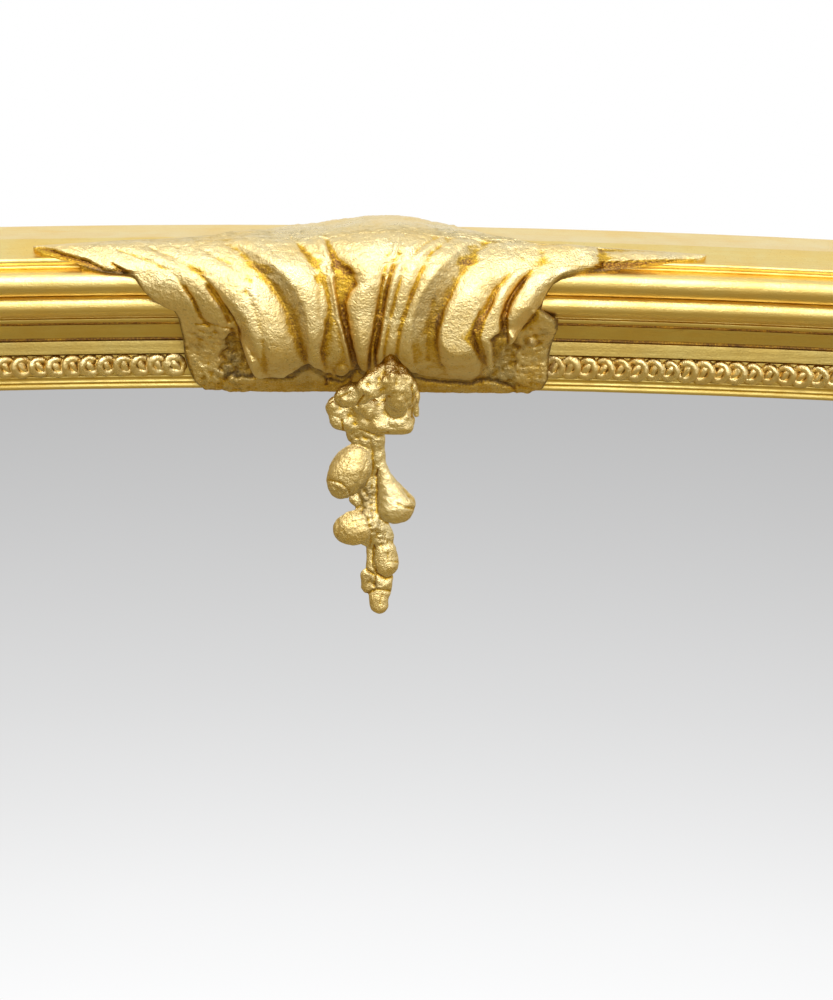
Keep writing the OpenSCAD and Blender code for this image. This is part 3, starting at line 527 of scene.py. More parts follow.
def shoulder_place(ins, outs, t):
    a = math.pi / 2 + (SPLIT_A - math.pi / 2) * t
    r = SHOULDER_R - ins
    return stacked(-SHOULDER_X - r * np.sin(a), -outs, SHOULDER_Z + r * np.cos(a))


def top_place(ins, outs, t):
    a = SPLIT_A * (1 - t)
    r = ARCH_R - ins
    return stacked(-r * np.sin(a), -outs, ARCH_Z + r * np.cos(a))


def mirrored(place):
    return lambda ins, outs, t: place(ins, outs, t) * np.array([-1, 1, 1])


# The right half of the arch was run by hand a little nearer to the outer edge: [in, how much]
SETTLE = [
    (6, 0), (11, 1.5), (16, 2.2), (23, 3.0), (33, 2.2), (46, 2.0), (53, 1.5), (68, 1.3), (80, 0.8),
    (90, 0),
]
# Shares of the run from its middle: where that is full, where it lessens, and where it is gone
SETTLE_FULL, SETTLE_LESS, SETTLE_GONE = 0.12, 0.62, 0.95


def settled_top_place(ins, outs, t):
    along = 1 - t
    share = ease(along, 0, SETTLE_FULL) * (1 - ease(along, SETTLE_LESS, SETTLE_GONE))
    shift = np.interp(ins, *zip(*SETTLE)) * share * (outs > CORE_T + 3)
    return mirrored(top_place)(ins - shift, outs, t)


def spaced(length, step):
    return np.linspace(0, 1, max(2, int(length / step)) + 1)


# Each run: the end of its nodes' names, how its places are found, its length and its step
RUNS = {
    "bottom": (base_place, FRAME_W, 5.0),
    "left": (stile_place, SHOULDER_Z, 5.0),
    "right": (mirrored(stile_place), SHOULDER_Z, 5.0),
    "left_shoulder": (shoulder_place, SHOULDER_R * 1.5, 3.0),
    "right_shoulder": (mirrored(shoulder_place), SHOULDER_R * 1.5, 3.0),
    "top_left": (top_place, SPLIT_S, 2.5),
    "top_right": (settled_top_place, SPLIT_S, 2.5),
}

# Height and size of the gesso's waves and of its grain
WAVE, WAVE_SIZE, GRAIN, GRAIN_SIZE = 0.22, 26.0, 0.09 * 0.6, 5.0


def section_hollow(section):
    """How deep each point of a section lies between its neighbours."""
    step, reach, full = 0.25, 1.5, 0.95
    along = lengths(section)
    even = np.arange(0, along[-1], step)
    line = points_at(section, even)
    lift = (blur(line, reach / step) - line) * normals_of(np.gradient(line, axis=0))
    return np.interp(along, even, lift.sum(1) / full)


def sweep(name, section, run, materials, node, darkening=1.0, dirt_and_shade=((0, 0),)):
    """Carries a section along a run, with the slight waver of a hand-laid gesso surface."""
    place, length, step = RUNS[run]
    t = spaced(length, step)[:, None]
    ins, outs = section[:, 0][None, :], section[:, 1][None, :]
    rest = place(ins, outs, t)
    rows, cols = rest.shape[:2]

    def noise(size, seed):
        return lattice_noise(rest.reshape(-1, 3), size, seed).reshape(rows, cols)

    inward = -np.abs(noise(WAVE_SIZE, 3)) * WAVE
    inward += (noise(GRAIN_SIZE, 4) - 0.5) * GRAIN
    inward *= ease(outs, CORE_T + 1, CORE_T + 6)
    normals = normals_of(np.gradient(section, axis=0))
    points = place(ins + normals[:, 0] * inward, outs + normals[:, 1] * inward, t)
    faces = []
    for i in range(rows - 1):
        for j in range(cols):
            k = (j + 1) % cols
            faces.append((i * cols + j, i * cols + k, (i + 1) * cols + k, (i + 1) * cols + j))
    faces.append(tuple(range(cols)))
    faces.append(tuple((rows - 1) * cols + j for j in reversed(range(cols))))
    material = materials[run in ("left", "right")]
    piece = make_piece(name, points.reshape(-1, 3), faces, material, 62)
    # The section's hollows take bole and painted shade, half as much near the outer edge
    dip = np.clip(section_hollow(section) * darkening, 0, 1) ** 1.5 * np.where(ins < 20, 0.5, 1)
    waver = 1 + 0.5 * noise(12, 9)
    set_shade(piece, "hollow", (dip * waver).reshape(-1))
    grime_and_shade = np.interp(ins, *zip(*dirt_and_shade)) * (outs > CORE_T + 6)
    set_shade(piece, "grime_and_shade", (grime_and_shade * waver).reshape(-1))
    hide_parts(node)


def build_mouldings():
    crown, frieze, slip = crown_section(), frieze_section(), slip_section()
    for run in RUNS:
        sweep(f"gilt_crown_{run}", crown, run, crown_golds, f"crown_{run}")
        sweep(f"gilt_frieze_{run}", frieze, run, frieze_golds, f"frieze_{run}",
              FRIEZE_HOLLOW_SHADE, FRIEZE_DIRT)
        sweep(f"gilt_slip_{run}", slip, run, slip_golds, f"slip_{run}")


build_mouldings()


# ---- the chain of small rings ----

RING_PITCH = 11.4
# Half the length and half the width of a ring, half the thickness of its wire, and its tilt
RING_LONG, RING_WIDE, RING_WIRE, RING_TILT = 8.7, 8.0, 2.7, math.radians(29)
SEED_SIZE, SEED_SLANT = (3.0, 6.2, 2.3), math.radians(-38)
CHAIN_IN = (BED_IN + 1.4 + FRIEZE_END) / 2
# Height of the rings' middles over the bed
RING_LIFT = 1.3
# Distance from the frame's middle to the chain's end, where the clasp covers it
CHAIN_SKIP = {"top_left": 133.0, "top_right": 110.0}


def one_ring(around=22, wire=8):
    """A tilted flat ring with a slanting seed across it: [along, in, out] and faces."""
    u = np.linspace(0, 2 * np.pi, around, endpoint=False)
    v = np.linspace(0, 2 * np.pi, wire, endpoint=False) + 0.3
    uu, vv = np.meshgrid(u, v, indexing="ij")
    along = (RING_LONG - RING_WIRE + RING_WIRE * np.cos(vv)) * np.cos(uu)
    across = (RING_WIDE - RING_WIRE + RING_WIRE * np.cos(vv)) * np.sin(uu)
    out = RING_WIRE * np.sin(vv) * 0.95
    points = np.stack([along, across, out], -1).reshape(-1, 3)
    faces = []
    for i in range(around):
        this, after = i * wire, (i + 1) % around * wire
        for j in range(wire):
            k = (j + 1) % wire
            faces.append((this + j, after + j, after + k, this + k))
    b = bmesh.new()
    bmesh.ops.create_icosphere(b, subdivisions=2, radius=1.0)
    seed = np.array([v.co for v in b.verts]) * SEED_SIZE
    c, s = math.cos(SEED_SLANT), math.sin(SEED_SLANT)
    seed = seed @ np.array([[c, s, 0], [-s, c, 0], [0, 0, 1]]) + [0.4, 0.4, 0.2]
    seed_faces = [tuple(v.index + len(points) for v in f.verts) for f in b.faces]
    b.free()
    points = np.vstack([points, seed])
    c, s = math.cos(RING_TILT), math.sin(RING_TILT)
    return points @ np.array([[c, 0, s], [0, 1, 0], [-s, 0, c]]).T, faces + seed_faces


def bed_length(run):
    """Length of a run along the chain's middle line."""
    if run == "bottom":
        return FRAME_W - 2 * CHAIN_IN
    if run in ("left", "right"):
        return SHOULDER_Z - CHAIN_IN
    if run.endswith("shoulder"):
        return (SHOULDER_R - CHAIN_IN) * (math.pi / 2 - SPLIT_A)
    return (ARCH_R - CHAIN_IN) * SPLIT_A


def build_chain(run):
    """Overlapping rings along one run's bed. They end, worn down, where the clasp begins."""
    place = RUNS[run][0]
    skip = CHAIN_SKIP.get(run, 0.0)
    middle = bed_length(run) - skip
    ring, ring_faces = one_ring()
    count = max(1, round(middle / RING_PITCH))
    pitch = middle / count
    rng = np.random.RandomState(len(run) + 5)
    points, faces = [], []
    for i in range(count):
        centre = (i + 0.5) * pitch
        turn = rng.normal(0, 0.12)
        size = 1 + rng.normal(0, 0.035)
        c, s = math.cos(turn), math.sin(turn)
        one = ring @ np.array([[c, s, 0], [-s, c, 0], [0, 0, 1]]) * size
        one += rng.normal(0, 0.16, 3)
        worn = 1 - 0.45 * float(ease(centre, middle - 46, middle - 12)) if skip else 1.0
        chip = lattice_noise(one + [i * 31.0, 0, 0], 2.8, 12)
        chip += 0.5 * lattice_noise(one + [i * 17.0, 0, 0], 1.4, 13)
        lower = 1 - 0.35 * ease(one[:, 1], 0, 6)
        one = (one + chip[:, None] * np.array([0.8, 0.8, 0.95]) * (1.9 - worn)) * [1, 1, worn]
        ins = CHAIN_IN + one[:, 1]
        bed = BED_D + (BED_END_D - BED_D) * (ins - BED_IN) / (FRIEZE_END - BED_IN)
        outs = bed + RING_LIFT + one[:, 2] * lower
        points.append(place(ins, outs, (centre + one[:, 0]) / (middle + skip)))
        faces += [tuple(k + i * len(ring) for k in f) for f in ring_faces]
    piece = make_piece(f"ring_chain_{run}", np.vstack(points), faces, ornament_gold, 80)
    # The low side of each ring, towards the bed, is darkened as painted shade
    set_shade(piece, "hollow", np.tile(np.clip(0.5 - ring[:, 2] / 3.0, 0, 1), count) * 0.4)
    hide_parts(f"ornament_{run}")


for run_name in RUNS:
    build_chain(run_name)


# ---- the leaf clasp ----

# The way over the mouldings, [in, out], from the top's back edge to the sight edge
WRAP = [
    (-0.4, 6), (-0.4, 26.4), (-0.4, 44), (4.6, 59.6), (11.6, 69), (18.4, 74.2), (24.4, 75.7),
    (33.2, 73.9), (42.3, 70.2), (51, 64.2), (60, 55.6), (69.5, 47.6), (80, 43.1), (95, 40.2), (105, 31.5),
]
# The way over the lobes, which stand out like a belly over the frieze
BELLY = [
    (-0.4, 6), (-0.4, 26.4), (-0.4, 44), (4.6, 59.6), (11.6, 69), (18.4, 74.2), (26, 76.2), (34, 76.9),
    (42, 77.3), (50, 77.4), (58, 76.2), (66, 73), (73, 67.6), (79, 61), (84, 54.5), (88.5, 48),
    (93, 42.5), (97, 39.6), (105, 31.5),
]
# The clasp's edges, [share of the way, distance along the rail from the middle]
LEFT_EDGE = [
    (0, -59), (0.13, -80), (0.2, -112), (0.235, -152), (0.262, -200), (0.28, -229), (0.304, -228),
    (0.332, -220), (0.365, -207), (0.381, -199), (0.4, -190), (0.414, -183), (0.421, -174), (0.425, -167),
    (0.438, -162.5), (0.487, -157), (0.527, -150.5), (0.557, -143.5), (0.572, -138), (0.605, -135.5),
    (0.742, -133.5), (0.838, -133), (0.9, -130), (0.955, -126.5), (1, -121.5),
]
RIGHT_EDGE = [
    (0, 46), (0.07, 52), (0.2, 72), (0.235, 96), (0.262, 140), (0.29, 212), (0.305, 210), (0.322, 204),
    (0.345, 187), (0.372, 167), (0.388, 146), (0.396, 129), (0.412, 123), (0.43, 114.5), (0.45, 109),
    (0.5, 104), (0.553, 102.5), (0.6, 113), (0.655, 115.5), (0.74, 113.5), (0.82, 112.5), (0.92, 113),
    (0.985, 110), (1, 103),
]
# Creases from left to right, each as pixels of the photograph from top to bottom
FLAP = [
    (118, 250), (150, 262), (172, 274), (179, 283), (192, 301), (206, 325), (215, 330), (221, 345),
    (222, 388),
]
LEAF_EDGE = [
    (150, 248), (175, 258), (200, 272), (214, 288), (227, 305), (234, 314), (239, 325), (241, 337),
    (245, 348), (251, 360), (254, 374), (257, 388),
]
LEFT_WEDGE = [
    (228, 240), (242, 253), (253, 265), (262, 273.5), (270, 282), (278.5, 295), (286, 308), (292, 323),
    (297, 337), (302, 353), (312, 380),
]
LEFT_RIM = [
    (230, 240), (237, 245.5), (248.5, 249.5), (263.5, 258), (273.5, 265), (283.5, 276.5), (295, 290),
    (303.5, 307), (307.5, 323), (308, 337), (307, 353), (314, 382),
]
LEFT_LOBE = [
    (285, 232), (302, 250), (313, 261), (321, 275), (326, 292), (329, 306), (326, 330), (321, 350),
    (326, 382),
]
RIDGE_A = [(310, 228), (324, 258), (331, 290), (336, 318), (344, 348), (352, 382)]
RIDGE_B = [(320, 228), (331, 258), (335, 290), (340, 318), (348, 348), (356, 382)]
POCKET = [
    (326, 228), (337, 256), (346, 264), (354, 274), (357, 284), (350, 293), (346, 304), (348, 318),
    (353, 345), (362, 380),
]
CENTRE = [(384, 217), (394, 232), (390, 248), (383, 275), (378, 305), (374, 330), (368, 360), (367, 380)]
GROOVE_A = [(386, 217), (397, 234), (388, 264), (382, 292), (378, 320), (371, 350), (370, 380)]
GROOVE_B = [(389, 217), (402, 234), (392, 262), (383, 296), (379, 322), (374, 345), (374, 380)]
RIDGE_C = [(402, 218), (410, 236), (397, 262), (391, 278), (385, 305), (380, 335), (376, 355), (378, 380)]
RIDGE_D = [(440, 226), (436, 238), (420, 247), (406, 262), (396, 292), (389, 320), (384, 350), (384, 380)]
LOBE_A = [(456, 228), (440, 246), (428, 256), (418, 280), (408, 306), (400, 330), (396, 355), (398, 382)]
RIGHT_RIM = [
    (474, 240), (466, 245), (454, 255), (440, 269), (430, 283), (422, 295), (416, 308), (412, 324),
    (411, 348), (414, 365), (422, 382),
]
RIGHT_WEDGE = [
    (492, 236), (486, 241), (470, 259), (456, 285), (444, 309), (438, 330), (437, 345), (440, 360),
    (450, 380),
]
GOUGE_A = [(520, 262), (494, 290), (485, 309), (476, 324), (470, 340), (477, 350), (482, 362), (476, 380)]
GOUGE_B = [(522, 262), (497, 290), (490, 309), (484, 322), (479, 340), (484, 352), (487, 362), (482, 380)]
FOLD_A = [
    (543, 258), (531, 270), (523, 278), (513, 291), (506, 303), (501, 317), (501, 328), (508, 345),
    (513, 380),
]
FOLD_B = [
    (546, 262), (535, 271), (527, 279), (517, 293), (511, 304), (506, 317), (507, 330), (515, 345),
    (516, 388),
]
TAB_TOP = [
    (598, 262), (584, 271), (561, 279), (550, 288), (544, 298), (541, 308), (534, 312), (527, 325),
    (519, 340), (516, 359), (518, 388),
]

# What lies between two creases: the height beside the left one and beside the right one, and the
# swell between them; a height is a number, or pairs of [y in the photograph, height]
TAB_HEIGHT = [(314, 2.6), (328, 3.0), (382, 3.0), (390, 1.6)]
CRACK_A = [(276, 4.6), (296, 3.2), (318, 1.8), (345, 0.4), (366, 1.2)]
CRACK_B = [(266, 4.2), (284, 2.2), (310, 1.0), (328, 0.4)]
POCKET_SIDE = [(250, 2.6), (310, 4.0)]
INNER_LOBE = [(250, 2.6), (300, 4.4), (345, 4.6), (376, 3)]
BETWEEN = [
    (None, FLAP, [(262, 1.6), (300, 1.2)], TAB_HEIGHT, [(262, 1.4), (300, 2.0), (328, 0.4)]),
    (FLAP, LEAF_EDGE, 2.4, 2.4, [(270, 1.8), (308, 2.4)]),
    (LEAF_EDGE, LEFT_WEDGE, [(262, 2.6), (300, 5.2), (330, 6.2), (360, 5.0)], 2.8,
     [(250, 1.0), (280, 3.4), (310, 6.0), (335, 6.8), (360, 6.0), (376, 3)]),
    (LEFT_WEDGE, LEFT_RIM, 3.0,
     [(246, 4.0), (253, 6.6), (264, 8.4), (300, 8.8), (336, 7.4), (356, 4.5)], -0.3),
    (LEFT_RIM, LEFT_LOBE, [(246, 4.2), (264, 8.6), (300, 9.0), (336, 7.6), (360, 4.5)], 3.4, 2.4),
    (LEFT_LOBE, RIDGE_A, 2.2, 3.0, 0.8),
    (RIDGE_A, RIDGE_B, 3.6, 3.4, 1.5),
    (RIDGE_B, POCKET, 2.0, [(250, 3.0), (272, 1.6), (290, 2.2)], -1.4),
    (POCKET, CENTRE, POCKET_SIDE, POCKET_SIDE, [(250, 2.0), (300, 4.6), (340, 6.0), (376, 3.0)]),
    (CENTRE, GROOVE_A, 2.4, 2.4, -0.4),
    (GROOVE_A, GROOVE_B, 3.2, 3.2, 1.6),
    (GROOVE_B, RIDGE_C, 2.4, 2.6, -0.4),
    (RIDGE_C, RIDGE_D, INNER_LOBE, [(250, 2.8), (300, 4.6), (345, 4.6), (376, 3)],
     [(250, 1.4), (300, 3.0), (345, 3.0), (376, 2)]),
    (RIDGE_D, LOBE_A, INNER_LOBE, [(250, 3.0), (300, 4.8), (345, 5.0), (376, 3)], 2.4),
    (LOBE_A, RIGHT_RIM, [(250, 3.2), (300, 5.0), (345, 5.0), (376, 3)],
     [(246, 5.6), (264, 8.6), (300, 8.8), (330, 7.6), (360, 5.0)], 1.6),
    (RIGHT_RIM, RIGHT_WEDGE, [(246, 5.2), (264, 8.2), (300, 8.4), (336, 6.8), (360, 4.0)], 3.0, -0.4),
    (RIGHT_WEDGE, GOUGE_A, [(250, 2.6), (300, 4.2), (340, 4.4), (366, 3)], CRACK_A,
     [(250, 1.0), (290, 3.6), (322, 6.0), (342, 6.6), (366, 5.4), (382, 2.0)]),
    (GOUGE_A, GOUGE_B, CRACK_A, CRACK_A, -0.2),
    (GOUGE_B, FOLD_A, CRACK_A, CRACK_B, [(262, 0.6), (290, 4.0), (314, 7.0), (334, 6.0), (348, 3.0)]),
    (FOLD_A, FOLD_B, CRACK_B, CRACK_B, 0.0),
    (FOLD_B, TAB_TOP, [(262, 4.2), (300, 3.4), (328, 3.0)], [(262, 3.0), (300, 2.4), (326, 2.0)],
     [(262, 1.8), (290, 4.6), (308, 7.4), (322, 5.0), (336, 1.0)]),
    (TAB_TOP, None, [(270, 0.4), (300, 0.8), (316, 2.6), (384, 2.6), (392, 1.2)], 1.8, 0.4),
]
# Lines of the photograph where the flutes start, have their full height, and are half as high
FLUTES_START, FLUTES_FULL, FLUTES_LOW = 222, 247, 378
# How far the right lobe stands out further than the others, down the photograph
PROUD = [
    (262, 0), (290, 1.2), (306, 3.6), (320, 6.8), (332, 9.0), (344, 9.0), (354, 6.4), (366, 2.2),
    (376, 0),
]
# The hollow from which the pendant hangs: its middle, its top and its width there
HANG_X, HANG_Y, HANG_W = 391, 364, 7

# The sides of the lobes in the photograph
LOBES_LEFT = [(150, 250), (204, 282), (219, 299), (235, 319), (244, 347), (255, 374), (260, 388)]
LOBES_RIGHT = [
    (562, 260), (558, 274), (550, 288), (540, 304), (524, 322), (506, 342), (494, 356), (488, 372),
    (478, 386),
]
# Rough recesses beside the lobes, outlined in the photograph
RECESSES = [
    [(221, 352), (227, 338), (233, 331), (240, 339), (246, 350), (252, 362), (256, 376), (224, 379),
     (220, 370)],
    [(487, 374), (487, 352), (491, 339), (500, 328), (513, 333), (519, 345), (516, 360), (518, 388),
     (504, 381), (490, 381)],
]
# Hollows beside the two tails, below these lines of the photograph
LEFT_GASH = [
    (30, 247), (36, 247.4), (41, 246.4), (53.5, 248.2), (64.6, 252), (75.8, 255.8), (87, 258.7),
    (95.9, 263.3), (102.6, 267), (107, 266), (112, 262), (118, 266), (123, 268), (127, 270.5), (131, 276),
]
RIGHT_GASH = [
    (584, 272), (598, 267), (601, 261.5), (620, 261), (640, 260), (660, 259.2), (682, 258.8), (712, 259),
]
# The bud in the left one: x, y, half its width, half its height
BUD = (110.4, 268.0, 8.4, 4.0)
# The tails lie above this line of the photograph
TAIL_END = 300
# Small balls on the surface: [x, y, radius, height]
KNOBS = [(532, 343.6, 5.2, 3.2), (342, 372, 7, 3.4), (193, 358, 4, 1.0)]
# Fine cracks: pixels, reach, depth
CRACKS = [
    ([(496, 248), (504, 243)], 1.2, 0.8),
    ([(527, 242), (534, 242.5), (543, 244.5)], 1.2, 0.8),
    ([(185, 288), (193, 300), (200, 317), (208, 325)], 3.2, 1.8),
    ([(207, 286), (215, 298), (223, 308), (229, 322)], 3.2, 1.8),
    ([(196, 324), (215, 325.5), (234, 330)], 2.0, 1.4),
    ([(227, 305), (239, 325), (245, 348), (254, 374)], 2.4, 1.6),
    ([(187, 346), (187, 356), (193, 376)], 1.8, 1.0),
    ([(519, 367), (536, 366), (553, 368)], 1.6, 0.5),
    ([(480, 312), (473, 332), (478, 352)], 2.4, 1.6),
    ([(526, 277), (516, 289), (508, 302), (506, 328)], 1.8, 1.8),
    ([(514, 336), (532, 321), (542, 305), (550, 289)], 1.8, 1.6),
    ([(246, 292), (254, 310), (261, 330), (265, 362)], 6.0, 1.2),
    ([(300, 246), (314, 268), (320, 290), (320, 320)], 4.0, 0.8),
    ([(206, 252), (232, 264), (250, 282)], 5.0, 0.7),
    ([(352, 262), (350, 246), (344, 234)], 3.5, 0.6),
    ([(372, 250), (368, 290), (364, 340)], 5.0, 0.8),
    ([(434, 300), (428, 330), (428, 360)], 4.0, 0.7),
    ([(330, 376), (326, 384)], 4.0, 1.6),
    ([(350, 362), (352, 374), (350, 384)], 3.5, 1.8),
]
# The rough groove under the lobes
LOWER_GROOVE = [
    (222, 374), (240, 375), (256, 376), (276, 378), (292, 377.5), (302, 370), (310, 367), (320, 374),
    (330, 379), (342, 381), (351, 374), (357, 369), (366, 377), (376, 375), (392, 379), (404, 380),
    (416, 377), (426, 380), (446, 382), (470, 383.5), (484, 379), (495, 381), (517, 386),
]
LOWER_GROOVE_DEPTH = 2.4
# The groove lies between the two tabs
GROOVE_FROM, GROOVE_TO = 222, 516

# Points of the clasp's front along the way and across it, and of its back across it
CLASP_ROWS, CLASP_COLS, BACK_COLS = 250, 384, 15
# Rounds in which the clasp's heights and what the photograph shows at them come together
CLASP_ROUNDS = 5
# Height of the rim and of the floor of the hollows beside the tails
RIM_HEIGHT, GASH_HEIGHT = 0.25, 0.5
# How far the back is sunk into the mouldings
BACK_SUNK = 0.3
# How softly the clasp is held below the part's top and behind its front
TOP_SOFT, FRONT_SOFT = 0.5, 1.0


def rounded_way(corners, count=360):
    """A way at even shares, its corners rounded, with its normals and its length."""
    line = np.array(corners, float)
    length = lengths(line)[-1]
    even = np.linspace(0, length, count)
    step = even[1]
    path = blur(points_at(line, even), 3.0 / step)
    path[0], path[-1] = line[0], line[-1]
    normal = normals_of(blur(np.gradient(path, axis=0), 4.0 / step))
    return np.hstack([path, normal]), length


def over_rail(s, ins, outs):
    """A point of the top rail, s along it from the middle."""
    a = s / ARCH_R
    return stacked((ARCH_R - ins) * np.sin(a), -outs, ARCH_Z + (ARCH_R - ins) * np.cos(a))


def line_x(line, py):
    """Where a crease lies at a height of the photograph."""
    return np.interp(py, [p[1] for p in line], [p[0] for p in line])


def level(value, py):
    """A number, or the value of a table at a height of the photograph."""
    if isinstance(value, (int, float)):
        return np.full_like(py, value)
    return np.interp(py, [p[0] for p in value], [p[1] for p in value])


def away_from(px, py, line):
    """Distance to a line of points."""
    best = np.full(px.shape, 1e9)
    for (x0, y0), (x1, y1) in zip(line[:-1], line[1:]):
        dx, dy = x1 - x0, y1 - y0
        t = np.clip(((px - x0) * dx + (py - y0) * dy) / (dx * dx + dy * dy), 0, 1)
        best = np.minimum(best, np.hypot(px - x0 - t * dx, py - y0 - t * dy))
    return best


def flute_relief(px, py, share):
    """Height of the flutes where the photograph shows a point of the clasp."""
    height = np.zeros_like(px)
    for left, right, low, high, swell in BETWEEN:
        x0 = line_x(left, py) if left else np.full_like(px, -1e4)
        x1 = line_x(right, py) if right else np.full_like(px, 1e4)
        if left is None:
            t = np.clip(share / 0.16, 0, 1)
        elif right is None:
            t = np.clip((share - 0.86) / 0.14, 0, 1)
        else:
            t = np.clip((px - x0) / np.maximum(x1 - x0, 0.5), 0, 1)
        inside = (px >= x0) & (px < x1)
        bow = np.power(np.clip(np.sin(np.pi * t), 0, 1), 0.75)
        value = level(low, py) * (1 - t) + level(high, py) * t + level(swell, py) * bow
        height = np.where(inside, value, height)
    return height


def gash_share(px, py):
    """1 inside the hollows beside the tails."""
    left = ease(py - np.interp(px, *zip(*LEFT_GASH)), -0.4, 1.2) * (px < LEFT_GASH[-1][0])
    right = ease(py - np.interp(px, *zip(*RIGHT_GASH)), -0.4, 1.2) * (px > RIGHT_GASH[0][0])
    return np.maximum(left, right * (py < TAIL_END))


def outlined(px, py, corners, soft):
    """1 inside an outline, 0 outside it, with a soft edge."""
    inside = np.zeros(px.shape, bool)
    ring = corners + corners[:1]
    for (x0, y0), (x1, y1) in zip(ring[:-1], ring[1:]):
        if y0 != y1:
            crosses = (py < y0) != (py < y1)
            inside ^= crosses & (px < x0 + (py - y0) * (x1 - x0) / (y1 - y0))
    edge = away_from(px, py, ring)
    return ease(np.where(inside, edge, -edge), -soft, soft)


def clasp_height(px, py, share):
    """Height over the way, the share of it that is recess, and the groove under the lobes."""
    height = flute_relief(px, py, share)
    height *= ease(py, FLUTES_START, FLUTES_FULL) * (1 - 0.5 * ease(py, 362, FLUTES_LOW))
    between_tabs = ease(px, GROOVE_FROM, GROOVE_FROM + 10) * ease(GROOVE_TO - px, 0, 8)
    below = py - np.interp(px, *zip(*LOWER_GROOVE))
    groove = np.exp(-(below / 2.8) ** 2) * between_tabs
    lip = ease(below, 1, 5) * between_tabs
    height = height * (1 - 0.8 * lip) + 1.4 * lip - LOWER_GROOVE_DEPTH * groove
    for x, y, radius, high in KNOBS:
        near = 1 - ((px - x) ** 2 + (py - y) ** 2) / radius ** 2
        height += high * np.sqrt(np.clip(near, 0, 1))
    for line, reach, deep in CRACKS:
        height -= deep * (1 - ease(away_from(px, py, line), 0, reach))
    ragged_x, ragged_y = px + 1.7 * np.sin(0.5 * py + 0.17 * px), py + 1.7 * np.sin(0.55 * px)
    recess = np.maximum(*[outlined(ragged_x, ragged_y, corners, 2.4) for corners in RECESSES])
    return height * (1 - recess) + 0.2 * recess, recess, groove


def grid_faces(rows, cols, offset):
    """Quads between the points of a grid whose first point is offset."""
    firsts = [offset + i * cols + j for i in range(rows - 1) for j in range(cols - 1)]
    return [(k, k + 1, k + cols + 1, k + cols) for k in firsts]


def clasp_faces(rows, cols, back_cols):
    """Faces of the clasp's front and back, and of the four sides between them."""
    offset = rows * cols
    faces = grid_faces(rows, cols, 0) + grid_faces(rows, back_cols, offset)
    for i in range(rows - 1):
        for f, k in ((i * cols, i * back_cols), ((i + 1) * cols - 1, (i + 1) * back_cols - 1)):
            faces.append((f, f + cols, offset + k + back_cols, offset + k))
    marks = [round(k * (cols - 1) / (back_cols - 1)) for k in range(back_cols)]
    for i in (0, rows - 1):
        for k in range(back_cols - 1):
            edge = [i * cols + j for j in range(marks[k], marks[k + 1] + 1)]
            faces.append(tuple(edge + [offset + i * back_cols + k + 1, offset + i * back_cols + k]))
    return faces


def mouldings_under(way):
    """The points of the mouldings' surface that are nearest to the points of a way."""
    section = np.vstack([[(0, 0)], crown_section()[:-1], frieze_section()[1:-1], slip_section()[1:]])
    section = points_at(section, np.arange(0, lengths(section)[-1], 0.2))
    return section[np.linalg.norm(way[:, None, :] - section[None, :, :], axis=2).argmin(1)]


